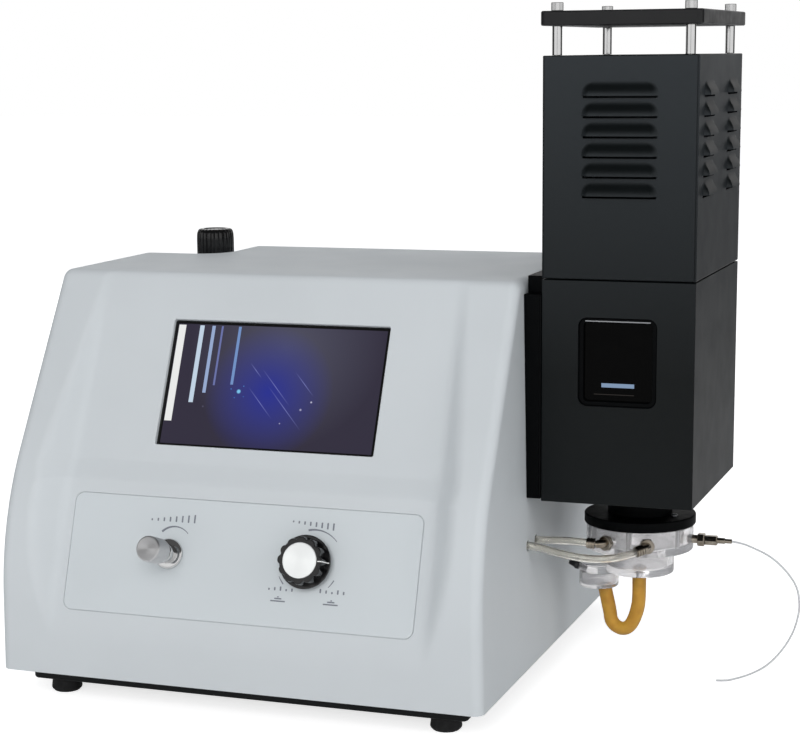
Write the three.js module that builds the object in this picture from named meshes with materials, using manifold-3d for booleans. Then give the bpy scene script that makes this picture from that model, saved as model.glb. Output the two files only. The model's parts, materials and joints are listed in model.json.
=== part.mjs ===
// Flame photometer with a moulded console, a louvred burner tower on its right side and,
// under the tower, a clear mixing chamber with its nebuliser, hoses and waste trap.
// Lengths are millimetres and angles radians. +Z is up and the operator stands at -Y.
// The pieces are placed from the shell: x is 0 at its right side, y at its front face and
// z at its lower edge. The last lines move the whole to the middle of its footprint.

import * as THREE from "three";
import { mergeVertices } from "three/addons/utils/BufferGeometryUtils.js";
import Module from "manifold-3d";

const wasm = await Module();
wasm.setup();

const degrees = Math.PI / 180;

// Clearances

const overrun = 4; // how far a cutting solid passes the faces that it cuts
const seatGap = 0.1; // between two faces that rest on each other
const fitGap = 0.3; // round a piece that sits in a hole or a pocket
const turnGap = 0.35; // round a shaft that turns or slides in a bore

// Console

const shell = {
  width: 340,
  height: 262,
  depth: 373,
  topBack: 302,
  wall: 3,
  draftShare: 0.0165,
  kneeHeight: 103,
  frontLean: 31.7 * degrees,
  bellyRadius: 184,
  browRadius: 25,
  rearRadius: 15,
  edgeRadius: 7,
};
shell.centre = -shell.width / 2;
shell.rearLean = Math.atan2(shell.depth - shell.topBack, shell.height);

// The recess in the front: a lower flat for the controls, a ledge and an upper flat for the screen.
const recess = {
  start: 36,
  lowerLean: 19.4 * degrees,
  ledgeLow: 129,
  ledgeHigh: 140.4,
  ledgeHighDepth: 41.2,
  upperLean: 24.9 * degrees,
  ledgeFillet: 9,
  sideInset: 42,
  sideFillet: 12,
  sideSlope: 45 * degrees,
  reach: 30,
};

const notch = {
  width: 71,
  front: 222,
  floor: 96,
  cornerRadius: 24,
};
notch.side = shell.width - notch.width;

const fascia = {
  sideInset: 46.7,
  height: 78.7,
  rise: 9.9,
  thickness: 0.8,
  cornerRadius: 6,
};
fascia.width = shell.width - 2 * fascia.sideInset;

const screen = {
  across: 4.85,
  rise: 12.7,
  width: 155.7,
  topDrop: 30.26,
  cornerRadius: 1.5,
  glassMargin: 5,
  glassThickness: 1.8,
  moduleDepth: 9,
  boardDepth: 4,
  boardInset: 12,
  earLength: 12,
  earWidth: 10,
  earThickness: 1.6,
  bossRadius: 4,
  bossReach: 7,
};
const screenRoom = shell.height - recess.ledgeHigh - screen.topDrop;
screen.height = screenRoom / Math.cos(recess.upperLean) - screen.rise;

const pan = {
  sideInset: 14.5,
  front: 16,
  rearInset: 18,
  drop: 10,
  sheet: 1.5,
  flangeLow: 2,
  edgeGap: 0.4,
  slotLength: 40,
  slotWidth: 4,
  slotPitch: 10,
  slotCount: 6,
  slotBack: 70,
};

const lug = {
  size: 12,
  height: 11,
  count: 3,
  firstBack: 60,
};

const foot = {
  radius: 10.5,
  topRadius: 9.5,
  height: 10,
  screwRadius: 4.5,
  screwDepth: 5,
  edge: 2,
  sideInset: 33,
  front: 30,
  rearInset: 34,
};

const rear = {
  openingSideInset: 22,
  openingNotchInset: 12,
  openingLow: 14,
  openingTop: 34,
  overlap: 8,
  panelThickness: 2,
  cornerRadius: 6,
  ventLength: 46,
  ventWidth: 3.2,
  ventPitch: 8,
  ventCount: 8,
  ventRise: 130,
  ventAcross: 10,
};
rear.openingHeight = shell.height - rear.openingLow - rear.openingTop;

// Mains inlet with its rocker, in the rear panel. Across is to the left seen from behind.
const inlet = {
  across: 40,
  rise: 46,
  width: 31,
  height: 54,
  flange: 2.2,
  bodyMargin: 2,
  bodyDepth: 26,
  socketWidth: 24,
  socketHeight: 17,
  socketDepth: 16,
  socketDrop: 12,
  socketRadius: 3,
  pinWidth: 2,
  pinThickness: 4,
  pinLength: 10,
  pinPitch: 7,
  pinStep: 4,
  wellWidth: 20,
  wellHeight: 14,
  wellDepth: 12,
  wellRise: 15,
};

const rocker = {
  gap: 0.6,
  crestHalf: 5.8,
  rootHalf: 3.9,
  proud: 2.6,
  sink: 4,
  pivotSink: 3,
  tilt: 10 * degrees,
  pinReach: 1.5,
  pinRadius: 1.2,
};

const gasInlet = {
  across: -96,
  rise: 40,
  hexRadius: 8,
  hexLength: 7,
  shankRadius: 5,
  barbRadius: 3.6,
  barbLip: 0.7,
  barbLength: 16,
  barbCount: 2,
  nutLength: 5,
};

// Needle valve for the fine adjustment

const needle = {
  across: -50.4,
  rise: 51.6,
  bezelRadius: 9.5,
  bezelThickness: 2.4,
  bossRadius: 6.6,
  bossLength: 11,
  bossEdge: 1,
  knobRadius: 8.4,
  knobLength: 17,
  knobFront: 33,
  knobEdge: 1.4,
  knobDish: 0.8,
  spindleRadius: 3,
  spindleInside: 26,
  threadRadius: 5,
  barrelRadius: 8,
  barrelLength: 32,
  portRadius: 4.5,
  portReach: 12,
};

// Gas valve: a knob that turns and pushes in

const gas = {
  across: 48,
  rise: 53,
  skirtRadius: 17.5,
  skirtLift: 4.6,
  skirtThickness: 1.8,
  gripRadius: 15.2,
  gripFrontRadius: 13.8,
  gripHeight: 9,
  fluteDepth: 1.1,
  fluteCount: 12,
  fluteSteps: 4,
  capRadius: 11.6,
  capSink: 1,
  capProud: 0.6,
  capEdge: 0.5,
  spindleRadius: 3,
  spindleInside: 24,
  push: 3.6,
  bushingRadius: 5,
  bodyWidth: 34,
  bodyLength: 42,
  bodyEdge: 3,
  nutRadius: 9,
  nutThickness: 2.5,
  chamberRadius: 7,
  chamberStart: 22,
  chamberLength: 17,
  plungerLength: 10,
  portRadius: 1.8,
  threadProud: 0.7,
  pipeRadius: 3,
};

// Filter regulator in the notch

const regulator = {
  wallGap: 26,
  frontGap: 46,
  bodyWidth: 38,
  bodyEdge: 5,
  bodyReach: 18,
  portDrop: 58,
  portRadius: 8,
  portLength: 3,
  portBore: 5,
  portDepth: 8,
  wellRadius: 8,
  wellDepth: 14,
  bowlRadius: 14.5,
  bowlClear: 26,
  bowlNose: 10,
  bowlNoseRadius: 5,
  bowlWall: 2,
  bonnetRadius: 16,
  bonnetTopRadius: 12,
  bonnetNeck: 13,
  bonnetHeight: 22,
  screwRadius: 4,
  screwHeight: 40,
  screwFoot: 8,
  knobRadius: 15.5,
  knobRib: 0.7,
  knobRibs: 16,
  knobLift: 23,
  knobHeight: 32,
  knobEdge: 3,
  knobWall: 2.4,
  bracketSheet: 2,
  bracketWidth: 36,
  bracketHeight: 40,
};
regulator.x = -notch.side - regulator.wallGap;
regulator.y = notch.front + regulator.frontGap;
regulator.portRise = shell.height - regulator.portDrop;
regulator.bodyLow = regulator.portRise - regulator.bodyReach;
regulator.bodyHigh = regulator.portRise + regulator.bodyReach;
regulator.bowlLow = notch.floor + regulator.bowlClear;
regulator.bonnetHigh = regulator.bodyHigh + regulator.bonnetHeight;
regulator.screwHigh = regulator.bodyHigh + regulator.screwHeight;
regulator.knobLow = regulator.bodyHigh + regulator.knobLift;
regulator.knobHigh = regulator.knobLow + regulator.knobHeight;

// Boards inside the console

const supply = { leftGap: 78, rearGap: 45, width: 110, depth: 88, height: 36, edge: 3 };
supply.left = supply.leftGap - shell.width;
supply.front = shell.depth - supply.rearGap - supply.depth;

const board = {
  leftGap: 48,
  front: 92,
  supplyGap: 40,
  width: 150,
  thickness: 1.6,
  legRadius: 3.5,
  legHeight: 8,
  legInset: 7,
  blockShares: [
    [0.12, 0.15, 0.22, 0.3, 1],
    [0.45, 0.2, 0.16, 0.22, 0.5],
    [0.72, 0.12, 0.14, 0.6, 0.7],
    [0.15, 0.65, 0.4, 0.18, 0.6],
  ],
  blockHeight: 18,
};
board.left = board.leftGap - shell.width;
board.depth = supply.front - board.supplyGap - board.front;

// Burner tower

const tower = {
  left: 7.7,
  width: 100.6,
  front: 108.3,
  depth: 149.1,
  bottom: 116,
  seam: 262.7,
  top: 405,
  sheet: 1.5,
  lip: 13,
  seamLip: 6,
  edgeRadius: 1.2,
};
const axis = { x: tower.left + tower.width / 2, y: tower.front + tower.depth / 2 };

const bridge = {
  front: 107.5,
  back: 250,
  low: 117.6,
  shoulderDrop: 9,
  shoulderBack: 118,
  over: 2,
};
bridge.shoulder = shell.height - bridge.shoulderDrop;
bridge.high = shell.height + bridge.over;

const window = {
  width: 51.8,
  height: 58,
  low: 181,
  cornerRadius: 6,
  frameDepth: 7,
  frameSetback: 1.2,
  frameWall: 3.4,
  glassThickness: 2,
  glassSetback: 3.6,
  lipThickness: 1.2,
  lipWidth: 2.5,
};

const louvre = {
  rows: 6,
  lowest: 316.8,
  pitch: 12.6,
  height: 9.2,
  bulge: 3.6,
  frontWidth: 49.7,
  sideWidth: 37,
  sideInset: 15.4,
  cornerRadius: 8,
  turnShare: 0.46,
  steps: 2,
  sheet: 1.2,
};

const baffle = {
  low: 423.5,
  thickness: 9.3,
  sideOverhang: 1.7,
  frontOverhang: 1.8,
  cornerRadius: 4,
};

const rod = {
  sideInset: 7.5,
  frontInset: 7.2,
  radius: 3.25,
  shankRadius: 2,
  headRadius: 3.9,
  headHeight: 5.2,
  socketRadius: 1.9,
  socketDepth: 2.6,
  nutRadius: 3.6,
  nutHeight: 3.2,
};

// Burner and mixing chamber, all on the tower's axis

const burner = {
  flangeRadius: 38,
  flangeLow: 89.5,
  flangeHigh: 96.6,
  flangeEdge: 1,
  collarRadius: 22,
  spigotRadius: 19.6,
  spigotHigh: 124,
  tubeRadius: 10,
  tubeBore: 7.5,
  tubeLow: 91,
  tubeHigh: 170,
  headRadius: 14,
  headHeight: 14,
  headSeat: 8,
  headEdge: 2,
  portRadius: 1.1,
  portCount: 6,
  portCircle: 5,
};

const spark = {
  across: 26,
  back: 12,
  insulatorRadius: 3.2,
  insulatorHigh: 165,
  collarRadius: 5,
  collarHeight: 3,
  wireRadius: 0.8,
  wireHigh: 190,
  tail: 8,
};

const optics = {
  topDrop: 57,
  blockWidth: 52,
  blockHeight: 52,
  blockLength: 56,
  blockStart: 10,
  spigotRadius: 16.4,
  spigotEnd: 5,
  boreRadius: 13,
  boreEnd: 26,
  lensRadius: 12.6,
  lensThickness: 5,
  lensDome: 2,
  lensSetback: 3,
  beamRadius: 4,
  beamSpread: 11,
  filterWidth: 46,
  filterHeight: 20,
  filterThickness: 3,
  filterRadius: 7,
  filterProud: 0.8,
  boardSize: 48,
  boardThickness: 1.6,
  detectorRadius: 4.5,
  detectorLength: 5,
};
optics.rise = shell.height - optics.topDrop;

const chamber = {
  radius: 36.5,
  low: 72,
  wall: 7,
  floor: 4,
  edge: 0.8,
  portRadius: 3.2,
  portRise: 81,
  drainRadius: 12,
};

const cup = {
  radius: 23.5,
  low: 55,
  wall: 4,
  floor: 4,
  edge: 1,
  nippleRadius: 2.8,
  nippleBore: 1.5,
  nippleLength: 1.6,
};

const trap = {
  x: 29.5,
  radius: 13.6,
  high: 58.8,
  low: 42.3,
  wall: 2,
  edge: 1.5,
  nippleAcross: 3.6,
  nippleLength: 1.6,
};

const waste = {
  x: 21,
  rise: 54.4,
  tilt: 12 * degrees,
  rootRadius: 3.4,
  tipRadius: 1.6,
  length: 13,
  hexLength: 3,
  boreRadius: 0.9,
  shankLength: 3,
  shankRadius: 1.8,
};

// Each hose fitting is a hex on a radial shank and a barb that turns towards the console.
const fitting = {
  hexRadius: 4.6,
  hexLength: 3.6,
  elbowRadius: 3.3,
  elbowReach: 7,
  shankRadius: 2.8,
  shankLength: 5,
  airTurn: -23.6 * degrees,
  gasTurn: 19.5 * degrees,
};

const nebuliser = {
  rise: 79.6,
  start: 86,
  collarRadius: 2.9,
  hexRadius: 3.6,
  hexEnd: 111.6,
  tipRadius: 2,
  tipEnd: 121.5,
  boreRadius: 0.9,
  nutRadius: 4.8,
  nutStart: 98.3,
  nutEnd: 103,
};

// Hoses, the waste loop and the capillary
const hose = {
  radius: 2.75,
  sides: 8,
  hole: 3.7,
  barb: 1.9,
  barbBore: 0.9,
  barbLength: 3,
  lead: 9,
};

// Where the two hoses pass the shell's right wall
const airWallPlace = [-3, 130.5, 84];
const gasWallPlace = [-3, 110.4, 84.7];

const drain = {
  radius: 4.5,
  sides: 8,
  steps: 18,
  low: 11.8,
};

const capillary = { radius: 0.7, sides: 6, steps: 37 };

// Materials

function finish(color, roughness, metalness, opacity = 1) {
  return new THREE.MeshStandardMaterial({
    color,
    roughness,
    metalness,
    opacity,
    transparent: opacity < 1,
  });
}

const paleShell = finish(0xd9dce0, 0.5, 0);
const paleFilm = finish(0xd4d9de, 0.6, 0);
const blackPaint = finish(0x1c1d1f, 0.55, 0.2);
const blackPlastic = finish(0x141416, 0.4, 0);
const blackRubber = finish(0x18181a, 0.85, 0);
const nickel = finish(0xb9b5ab, 0.25, 1);
const chrome = finish(0xd6d8da, 0.12, 1);
const aluminium = finish(0xd2d4d6, 0.3, 1);
const steel = finish(0x9c9fa2, 0.4, 1);
const brass = finish(0xb08d4a, 0.35, 1);
const darkGlass = finish(0x10141c, 0.08, 0);
const clearGlass = finish(0xdfe8ee, 0.05, 0, 0.35);
const clearAcrylic = finish(0xe6e9ec, 0.15, 0, 0.45);
const clearHose = finish(0xdcdad0, 0.25, 0, 0.6);
const latex = finish(0xc9902c, 0.5, 0);
const ceramic = finish(0xece8de, 0.35, 0);
const boardGreen = finish(0x1e5a38, 0.5, 0);
const filterTint = finish(0x8a3f5c, 0.1, 0.2);

// Forms

function faceUp(geometry) {
  const bare = new THREE.BufferGeometry();
  bare.setAttribute("position", geometry.getAttribute("position").clone());
  if (geometry.index) {
    bare.setIndex(geometry.index.clone());
  }
  const merged = mergeVertices(bare);
  const place = merged.getAttribute("position");
  const corners = [];
  let volume = 0;
  const [a, b, c] = [new THREE.Vector3(), new THREE.Vector3(), new THREE.Vector3()];
  for (let face = 0; face < merged.index.count; face += 3) {
    const [i, j, k] = [0, 1, 2].map((step) => merged.index.getX(face + step));
    if (i === j || j === k || k === i) {
      continue;
    }
    a.fromBufferAttribute(place, i);
    b.fromBufferAttribute(place, j);
    c.fromBufferAttribute(place, k);
    volume += a.dot(b.cross(c));
    corners.push(i, j, k);
  }
  if (volume < 0) {
    corners.reverse();
  }
  return { vertProperties: Float32Array.from(place.array), triVerts: Uint32Array.from(corners) };
}

function solidOf(form) {
  if (!form.isBufferGeometry) {
    return form;
  }
  return new wasm.Manifold(new wasm.Mesh({ numProp: 3, ...faceUp(form) }));
}

function join(first, ...others) {
  return others.reduce((sum, other) => sum.add(solidOf(other)), solidOf(first));
}

function cut(first, ...tools) {
  return tools.reduce((rest, tool) => rest.subtract(solidOf(tool)), solidOf(first));
}

function common(first, second) {
  return solidOf(first).intersect(solidOf(second));
}

function piece(parent, name, form, material) {
  const { vertProperties, triVerts } = solidOf(form).getMesh();
  const geometry = new THREE.BufferGeometry();
  geometry.setAttribute("position", new THREE.BufferAttribute(vertProperties, 3));
  geometry.setIndex(new THREE.BufferAttribute(triVerts, 1));
  geometry.computeVertexNormals();
  const mesh = new THREE.Mesh(geometry, material);
  mesh.name = name;
  parent.add(mesh);
  return mesh;
}

function box([lowX, lowY, lowZ], [highX, highY, highZ]) {
  const form = new THREE.BoxGeometry(highX - lowX, highY - lowY, highZ - lowZ);
  return form.translate((lowX + highX) / 2, (lowY + highY) / 2, (lowZ + highZ) / 2);
}

// A profile of radius and height pairs, turned about Z.
function turned(profile, segments = 20) {
  const points = profile.map(([radius, height]) => new THREE.Vector2(radius, height));
  return new THREE.LatheGeometry(points, segments).rotateX(Math.PI / 2);
}

function disc(radius, low, high, segments = 20) {
  return turned([[0, low], [radius, low], [radius, high], [0, high]], segments);
}

function hexagon(radius, low, high) {
  return disc(radius, low, high, 6);
}

function prism(points, low, high) {
  const shape = new THREE.Shape(points);
  const form = new THREE.ExtrudeGeometry(shape, { depth: high - low, bevelEnabled: false });
  return form.translate(0, 0, low);
}

// The arc that rounds one corner between its two neighbours.
function fillet(before, corner, after, radius, steps) {
  const here = new THREE.Vector2(...corner);
  const back = new THREE.Vector2(...before).sub(here).normalize();
  const ahead = new THREE.Vector2(...after).sub(here).normalize();
  const half = Math.acos(back.dot(ahead)) / 2;
  const bisector = back.clone().add(ahead).normalize();
  const centre = here.clone().addScaledVector(bisector, radius / Math.sin(half));
  const start = here.clone().addScaledVector(back, radius / Math.tan(half)).sub(centre);
  const end = here.clone().addScaledVector(ahead, radius / Math.tan(half)).sub(centre);
  const sweep = Math.atan2(start.cross(end), start.dot(end));
  const origin = new THREE.Vector2();
  return Array.from({ length: steps + 1 }, (_, step) =>
    start.clone().rotateAround(origin, (sweep * step) / steps).add(centre));
}

// A closed outline from corners of x, y and radius.
function outline(corners, steps = 3) {
  return corners.flatMap(([x, y, radius], index) => {
    if (!radius) {
      return [new THREE.Vector2(x, y)];
    }
    const before = corners.at(index - 1).slice(0, 2);
    const after = corners[(index + 1) % corners.length].slice(0, 2);
    return fillet(before, [x, y], after, radius, steps);
  });
}

function rectangle(lowX, lowY, highX, highY, radius, steps = 3) {
  return outline([
    [lowX, lowY, radius],
    [highX, lowY, radius],
    [highX, highY, radius],
    [lowX, highY, radius],
  ], steps);
}

// Corners in anticlockwise order with each edge moved inwards by its own inset.
function insetCorners(corners, insets) {
  const lines = corners.map(([x, y], index) => {
    const [nextX, nextY] = corners[(index + 1) % corners.length];
    const along = new THREE.Vector2(nextX - x, nextY - y).normalize();
    const inward = new THREE.Vector2(-along.y, along.x);
    return { along, point: new THREE.Vector2(x, y).addScaledVector(inward, insets[index]) };
  });
  return corners.map(([, , radius], index) => {
    const here = lines[index];
    const before = lines.at(index - 1);
    const gap = here.point.clone().sub(before.point);
    const reach = gap.cross(here.along) / before.along.cross(here.along);
    const corner = before.point.clone().addScaledVector(before.along, reach);
    return [corner.x, corner.y, Math.max(radius - insets[index], 0)];
  });
}

function capFaces(ring) {
  const normal = new THREE.Vector3();
  ring.forEach((point, index) => {
    normal.add(point.clone().cross(ring[(index + 1) % ring.length]));
  });
  normal.normalize();
  const across = new THREE.Vector3(1, 0, 0);
  const steepShare = 0.8;
  if (Math.abs(normal.x) > steepShare) {
    across.set(0, 1, 0);
  }
  across.addScaledVector(normal, -across.dot(normal)).normalize();
  const up = normal.clone().cross(across);
  const flat = ring.map((point) => new THREE.Vector2(point.dot(across), point.dot(up)));
  return THREE.ShapeUtils.triangulateShape(flat, []);
}

// A skin over rings of equally many points, closed at both ends.
function loft(rings) {
  const count = rings[0].length;
  const faces = [];
  for (let ring = 0; ring + 1 < rings.length; ring += 1) {
    for (let step = 0; step < count; step += 1) {
      const here = ring * count + step;
      const next = ring * count + ((step + 1) % count);
      faces.push([here, next, next + count], [here, next + count, here + count]);
    }
  }
  const last = (rings.length - 1) * count;
  capFaces(rings[0]).forEach(([i, j, k]) => faces.push([k, j, i]));
  capFaces(rings.at(-1)).forEach(([i, j, k]) => faces.push([last + i, last + j, last + k]));
  const places = rings.flat().flatMap((point) => point.toArray());
  const geometry = new THREE.BufferGeometry();
  geometry.setAttribute("position", new THREE.Float32BufferAttribute(places, 3));
  geometry.setIndex(faces.flat());
  return geometry;
}

function roundTube(points, radius, sides, steps) {
  const section = new THREE.Shape(Array.from({ length: sides }, (_, side) =>
    new THREE.Vector2(radius, 0).rotateAround(new THREE.Vector2(), (side / sides) * 2 * Math.PI)));
  const extrudePath = new THREE.CatmullRomCurve3(points.map((point) => new THREE.Vector3(...point)));
  return new THREE.ExtrudeGeometry(section, { steps, extrudePath, bevelEnabled: false });
}

// A frame by its origin, the way its X runs and the way its Z faces.
function frameAt(origin, xWay, zWay) {
  const x = new THREE.Vector3(...xWay).normalize();
  const z = new THREE.Vector3(...zWay).normalize();
  const y = z.clone().cross(x);
  return new THREE.Matrix4().makeBasis(x, y, z).setPosition(...origin);
}

function placed(form, frame) {
  return form.clone().applyMatrix4(frame);
}

function groupAt(parent, frame) {
  const group = new THREE.Group();
  group.applyMatrix4(frame);
  parent.add(group);
  return group;
}

// Frames

const lower = { sin: Math.sin(recess.lowerLean), cos: Math.cos(recess.lowerLean) };
const upper = { sin: Math.sin(recess.upperLean), cos: Math.cos(recess.upperLean) };
const behind = { sin: Math.sin(shell.rearLean), cos: Math.cos(shell.rearLean) };

// X to the right, Y up the slope and Z out of the face.
const controlFrame = frameAt([shell.centre, 0, recess.start], [1, 0, 0], [0, -lower.cos, lower.sin]);
const screenFrame = frameAt(
  [shell.centre, recess.ledgeHighDepth, recess.ledgeHigh],
  [1, 0, 0],
  [0, -upper.cos, upper.sin],
);
const rearFrame = frameAt([shell.centre, shell.depth, 0], [-1, 0, 0], [0, behind.cos, behind.sin]);
const alongX = (x, y, z) => frameAt([x, y, z], [0, 1, 0], [1, 0, 0]);
const towardsFront = (x, y, z) => frameAt([x, y, z], [1, 0, 0], [0, -1, 0]);

const panFloor = -pan.drop + pan.sheet;

const rearOpening = {
  low: shell.centre + rear.openingSideInset,
  high: notch.side + shell.centre - rear.openingNotchInset,
};

// Routes: places on the centre lines of the hoses, from the tips of the barbs that they meet

const barbTip = (frame, place, depth) => new THREE.Vector3(place.across, place.rise, -depth)
  .applyMatrix4(frame)
  .toArray();
const bodyTip = (length) => shell.wall + seatGap + length + hose.barbLength + fitGap;
const needleTip = bodyTip(needle.barrelLength);
const gasTip = bodyTip(gas.bodyLength);
const inletTip = bodyTip(rear.panelThickness + 2 * seatGap + gasInlet.nutLength);
const portTip = regulator.y - regulator.bodyWidth / 2 - hose.barbLength - fitGap;

// How far the air hose has dropped below the regulator's port at its first bends
const airDrops = [2, 14, 39, 68];

const airHoseRoute = [
  [regulator.x, portTip, regulator.portRise],
  [regulator.x, portTip - hose.lead, regulator.portRise],
  [regulator.x, notch.front, regulator.portRise],
  [-294, 204, regulator.portRise - airDrops[0]],
  [-286, 182, regulator.portRise - airDrops[1]],
  [-270, 164, regulator.portRise - airDrops[2]],
  [-244, 150, regulator.portRise - airDrops[3]],
  [-205, 138, 112],
  [-160, 130, 97],
  [-110, 127, 89],
  [-60, 128, 85],
  [-20, 129.6, 84],
  airWallPlace,
  [7, 131.8, 84],
  [14, 135, 83.5],
  [19, 139.8, 82.6],
  [26.1, 142, 81.9],
  [34, 142.5, 81.4],
];

const gasHoseRoute = [
  barbTip(controlFrame, needle, needleTip),
  barbTip(controlFrame, needle, needleTip + hose.lead),
  barbTip(controlFrame, needle, needleTip + 2 * hose.lead),
  [-212, 86, 63.6],
  [-196, 97, 64],
  [-160, 105, 69],
  [-115, 108, 76],
  [-68, 108.4, 82],
  [-28, 109, 85],
  gasWallPlace,
  [7, 112.8, 82.9],
  [15, 116.2, 80.1],
  [27, 120, 77],
  [40, 122.6, 75.6],
  [53, 125.6, 76.4],
  [62.4, 131.6, 78.2],
  [67.9, 137.2, 79.75],
];

const gasLineRoute = [
  barbTip(rearFrame, gasInlet, inletTip),
  barbTip(rearFrame, gasInlet, inletTip + hose.lead),
  [-73, 322, 30],
  [-66, 272, 32],
  [-62, 220, 40],
  [-70, 175, 47],
  [-92, 135, 53],
  [-113, 106, 57],
  barbTip(controlFrame, gas, gasTip + 2 * hose.lead),
  barbTip(controlFrame, gas, gasTip + hose.lead),
  barbTip(controlFrame, gas, gasTip),
];

const capillaryRoute = [
  [121.9, 182.85, 79.6],
  [127.5, 182.85, 78.8],
  [133.8, 182.85, 77],
  [146.7, 182.85, 71.4],
  [157, 182.85, 63.2],
  [164.6, 182.85, 53.3],
  [167.5, 182.85, 43.8],
  [167.6, 182.85, 33.4],
  [164.2, 182.85, 19.8],
  [157.1, 182.85, 6.5],
  [147.3, 182.85, -5],
  [135.9, 182.85, -12.5],
  [124.5, 182.85, -17.2],
  [118.5, 182.85, -18.7],
  [112.7, 182.85, -19.2],
];

// Console shell

function sideView(inset, lowerInset) {
  const brow = (shell.height - shell.kneeHeight) * Math.tan(shell.frontLean);
  const corners = [
    [0, 0, 0],
    [shell.depth, 0, 0],
    [shell.topBack, shell.height, shell.rearRadius],
    [brow, shell.height, shell.browRadius],
    [0, shell.kneeHeight, shell.bellyRadius],
  ];
  return outline(insetCorners(corners, [lowerInset, inset, inset, inset, inset]), 4);
}

// The moulding's outer form, or its inner one when inset by the wall.
function shellForm(inset, lowerInset, steps) {
  const edge = shell.edgeRadius - inset;
  const ringAt = (side, step) => {
    const turn = (step / steps) * (Math.PI / 2);
    const sunk = inset + edge * (1 - Math.cos(turn));
    return sideView(inset + edge * (1 - Math.sin(turn)), lowerInset).map(({ x: y, y: z }) => {
      const half = shell.width / 2 - shell.draftShare * z - sunk;
      return new THREE.Vector3(shell.centre + side * half, y, z);
    });
  };
  const order = Array.from({ length: steps + 1 }, (_, step) => step);
  return loft([
    ...order.map((step) => ringAt(-1, step)),
    ...order.reverse().map((step) => ringAt(1, step)),
  ]);
}

// The recess as a solid in front of its floor. Grown by the wall, it shapes the inside.
function recessForm(grow) {
  const depthAt = (height) => (height - recess.start) * Math.tan(recess.lowerLean);
  const start = [depthAt(0), 0];
  const ledgeLow = [depthAt(recess.ledgeLow), recess.ledgeLow];
  const ledgeHigh = [recess.ledgeHighDepth, recess.ledgeHigh];
  const endHeight = shell.height + recess.reach;
  const climb = endHeight - recess.ledgeHigh;
  const end = [recess.ledgeHighDepth + climb * Math.tan(recess.upperLean), endHeight];
  const floor = [
    new THREE.Vector2(...start),
    ...fillet(start, ledgeLow, ledgeHigh, recess.ledgeFillet, 3),
    ...fillet(ledgeLow, ledgeHigh, end, recess.ledgeFillet, 3),
    new THREE.Vector2(...end),
  ];
  const section = Array.from({ length: 5 }, (_, step) => {
    const turn = (step / 4) * recess.sideSlope;
    return {
      turn,
      inset: recess.sideInset - recess.sideFillet * Math.sin(turn),
      height: recess.sideFillet * (1 - Math.cos(turn)),
    };
  });
  const wallTop = section.at(-1);
  section.push({
    turn: recess.sideSlope,
    inset: wallTop.inset - (recess.reach - wallTop.height) / Math.tan(recess.sideSlope),
    height: recess.reach,
  });
  return loft(floor.map((point, index) => {
    const before = floor[Math.max(index - 1, 0)];
    const after = floor[Math.min(index + 1, floor.length - 1)];
    const along = after.clone().sub(before).normalize();
    const side = (way) => section.map(({ turn, inset, height }) => {
      const lift = height - grow * Math.cos(turn);
      const y = point.x - along.y * lift;
      const z = point.y + along.x * lift;
      const half = shell.width / 2 - shell.draftShare * point.y - inset + grow * Math.sin(turn);
      return new THREE.Vector3(shell.centre + way * half, y, z);
    });
    return [...side(1), ...side(-1).reverse()];
  }));
}

function notchForm(grow) {
  const left = -shell.width - overrun;
  const back = shell.depth + overrun;
  const side = -notch.side + grow;
  const front = notch.front - grow;
  const corners = [
    [left, front, 0],
    [side, front, notch.cornerRadius],
    [side, back, 0],
    [left, back, 0],
  ];
  return prism(outline(corners, 6), notch.floor - grow, shell.height + overrun);
}

function screenHole(margin, low, high) {
  const left = screen.across - screen.width / 2 - margin;
  const right = screen.across + screen.width / 2 + margin;
  const bottom = screen.rise - margin;
  const top = screen.rise + screen.height + margin;
  return prism(rectangle(left, bottom, right, top, screen.cornerRadius), low, high);
}

function fasciaPlate(margin, low, high) {
  const half = fascia.width / 2 + margin;
  const bottom = fascia.rise - margin;
  const top = fascia.rise + fascia.height + margin;
  return prism(rectangle(-half, bottom, half, top, fascia.cornerRadius + margin), low, high);
}

const earPlaces = [-1, 1].flatMap((side) => [0, 1].map((end) => [
  screen.across + side * (screen.width / 2 + screen.glassMargin + screen.earLength / 2),
  screen.rise + end * screen.height,
]));
const moduleFront = -shell.wall - 2 * seatGap - screen.glassThickness - seatGap;

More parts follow.
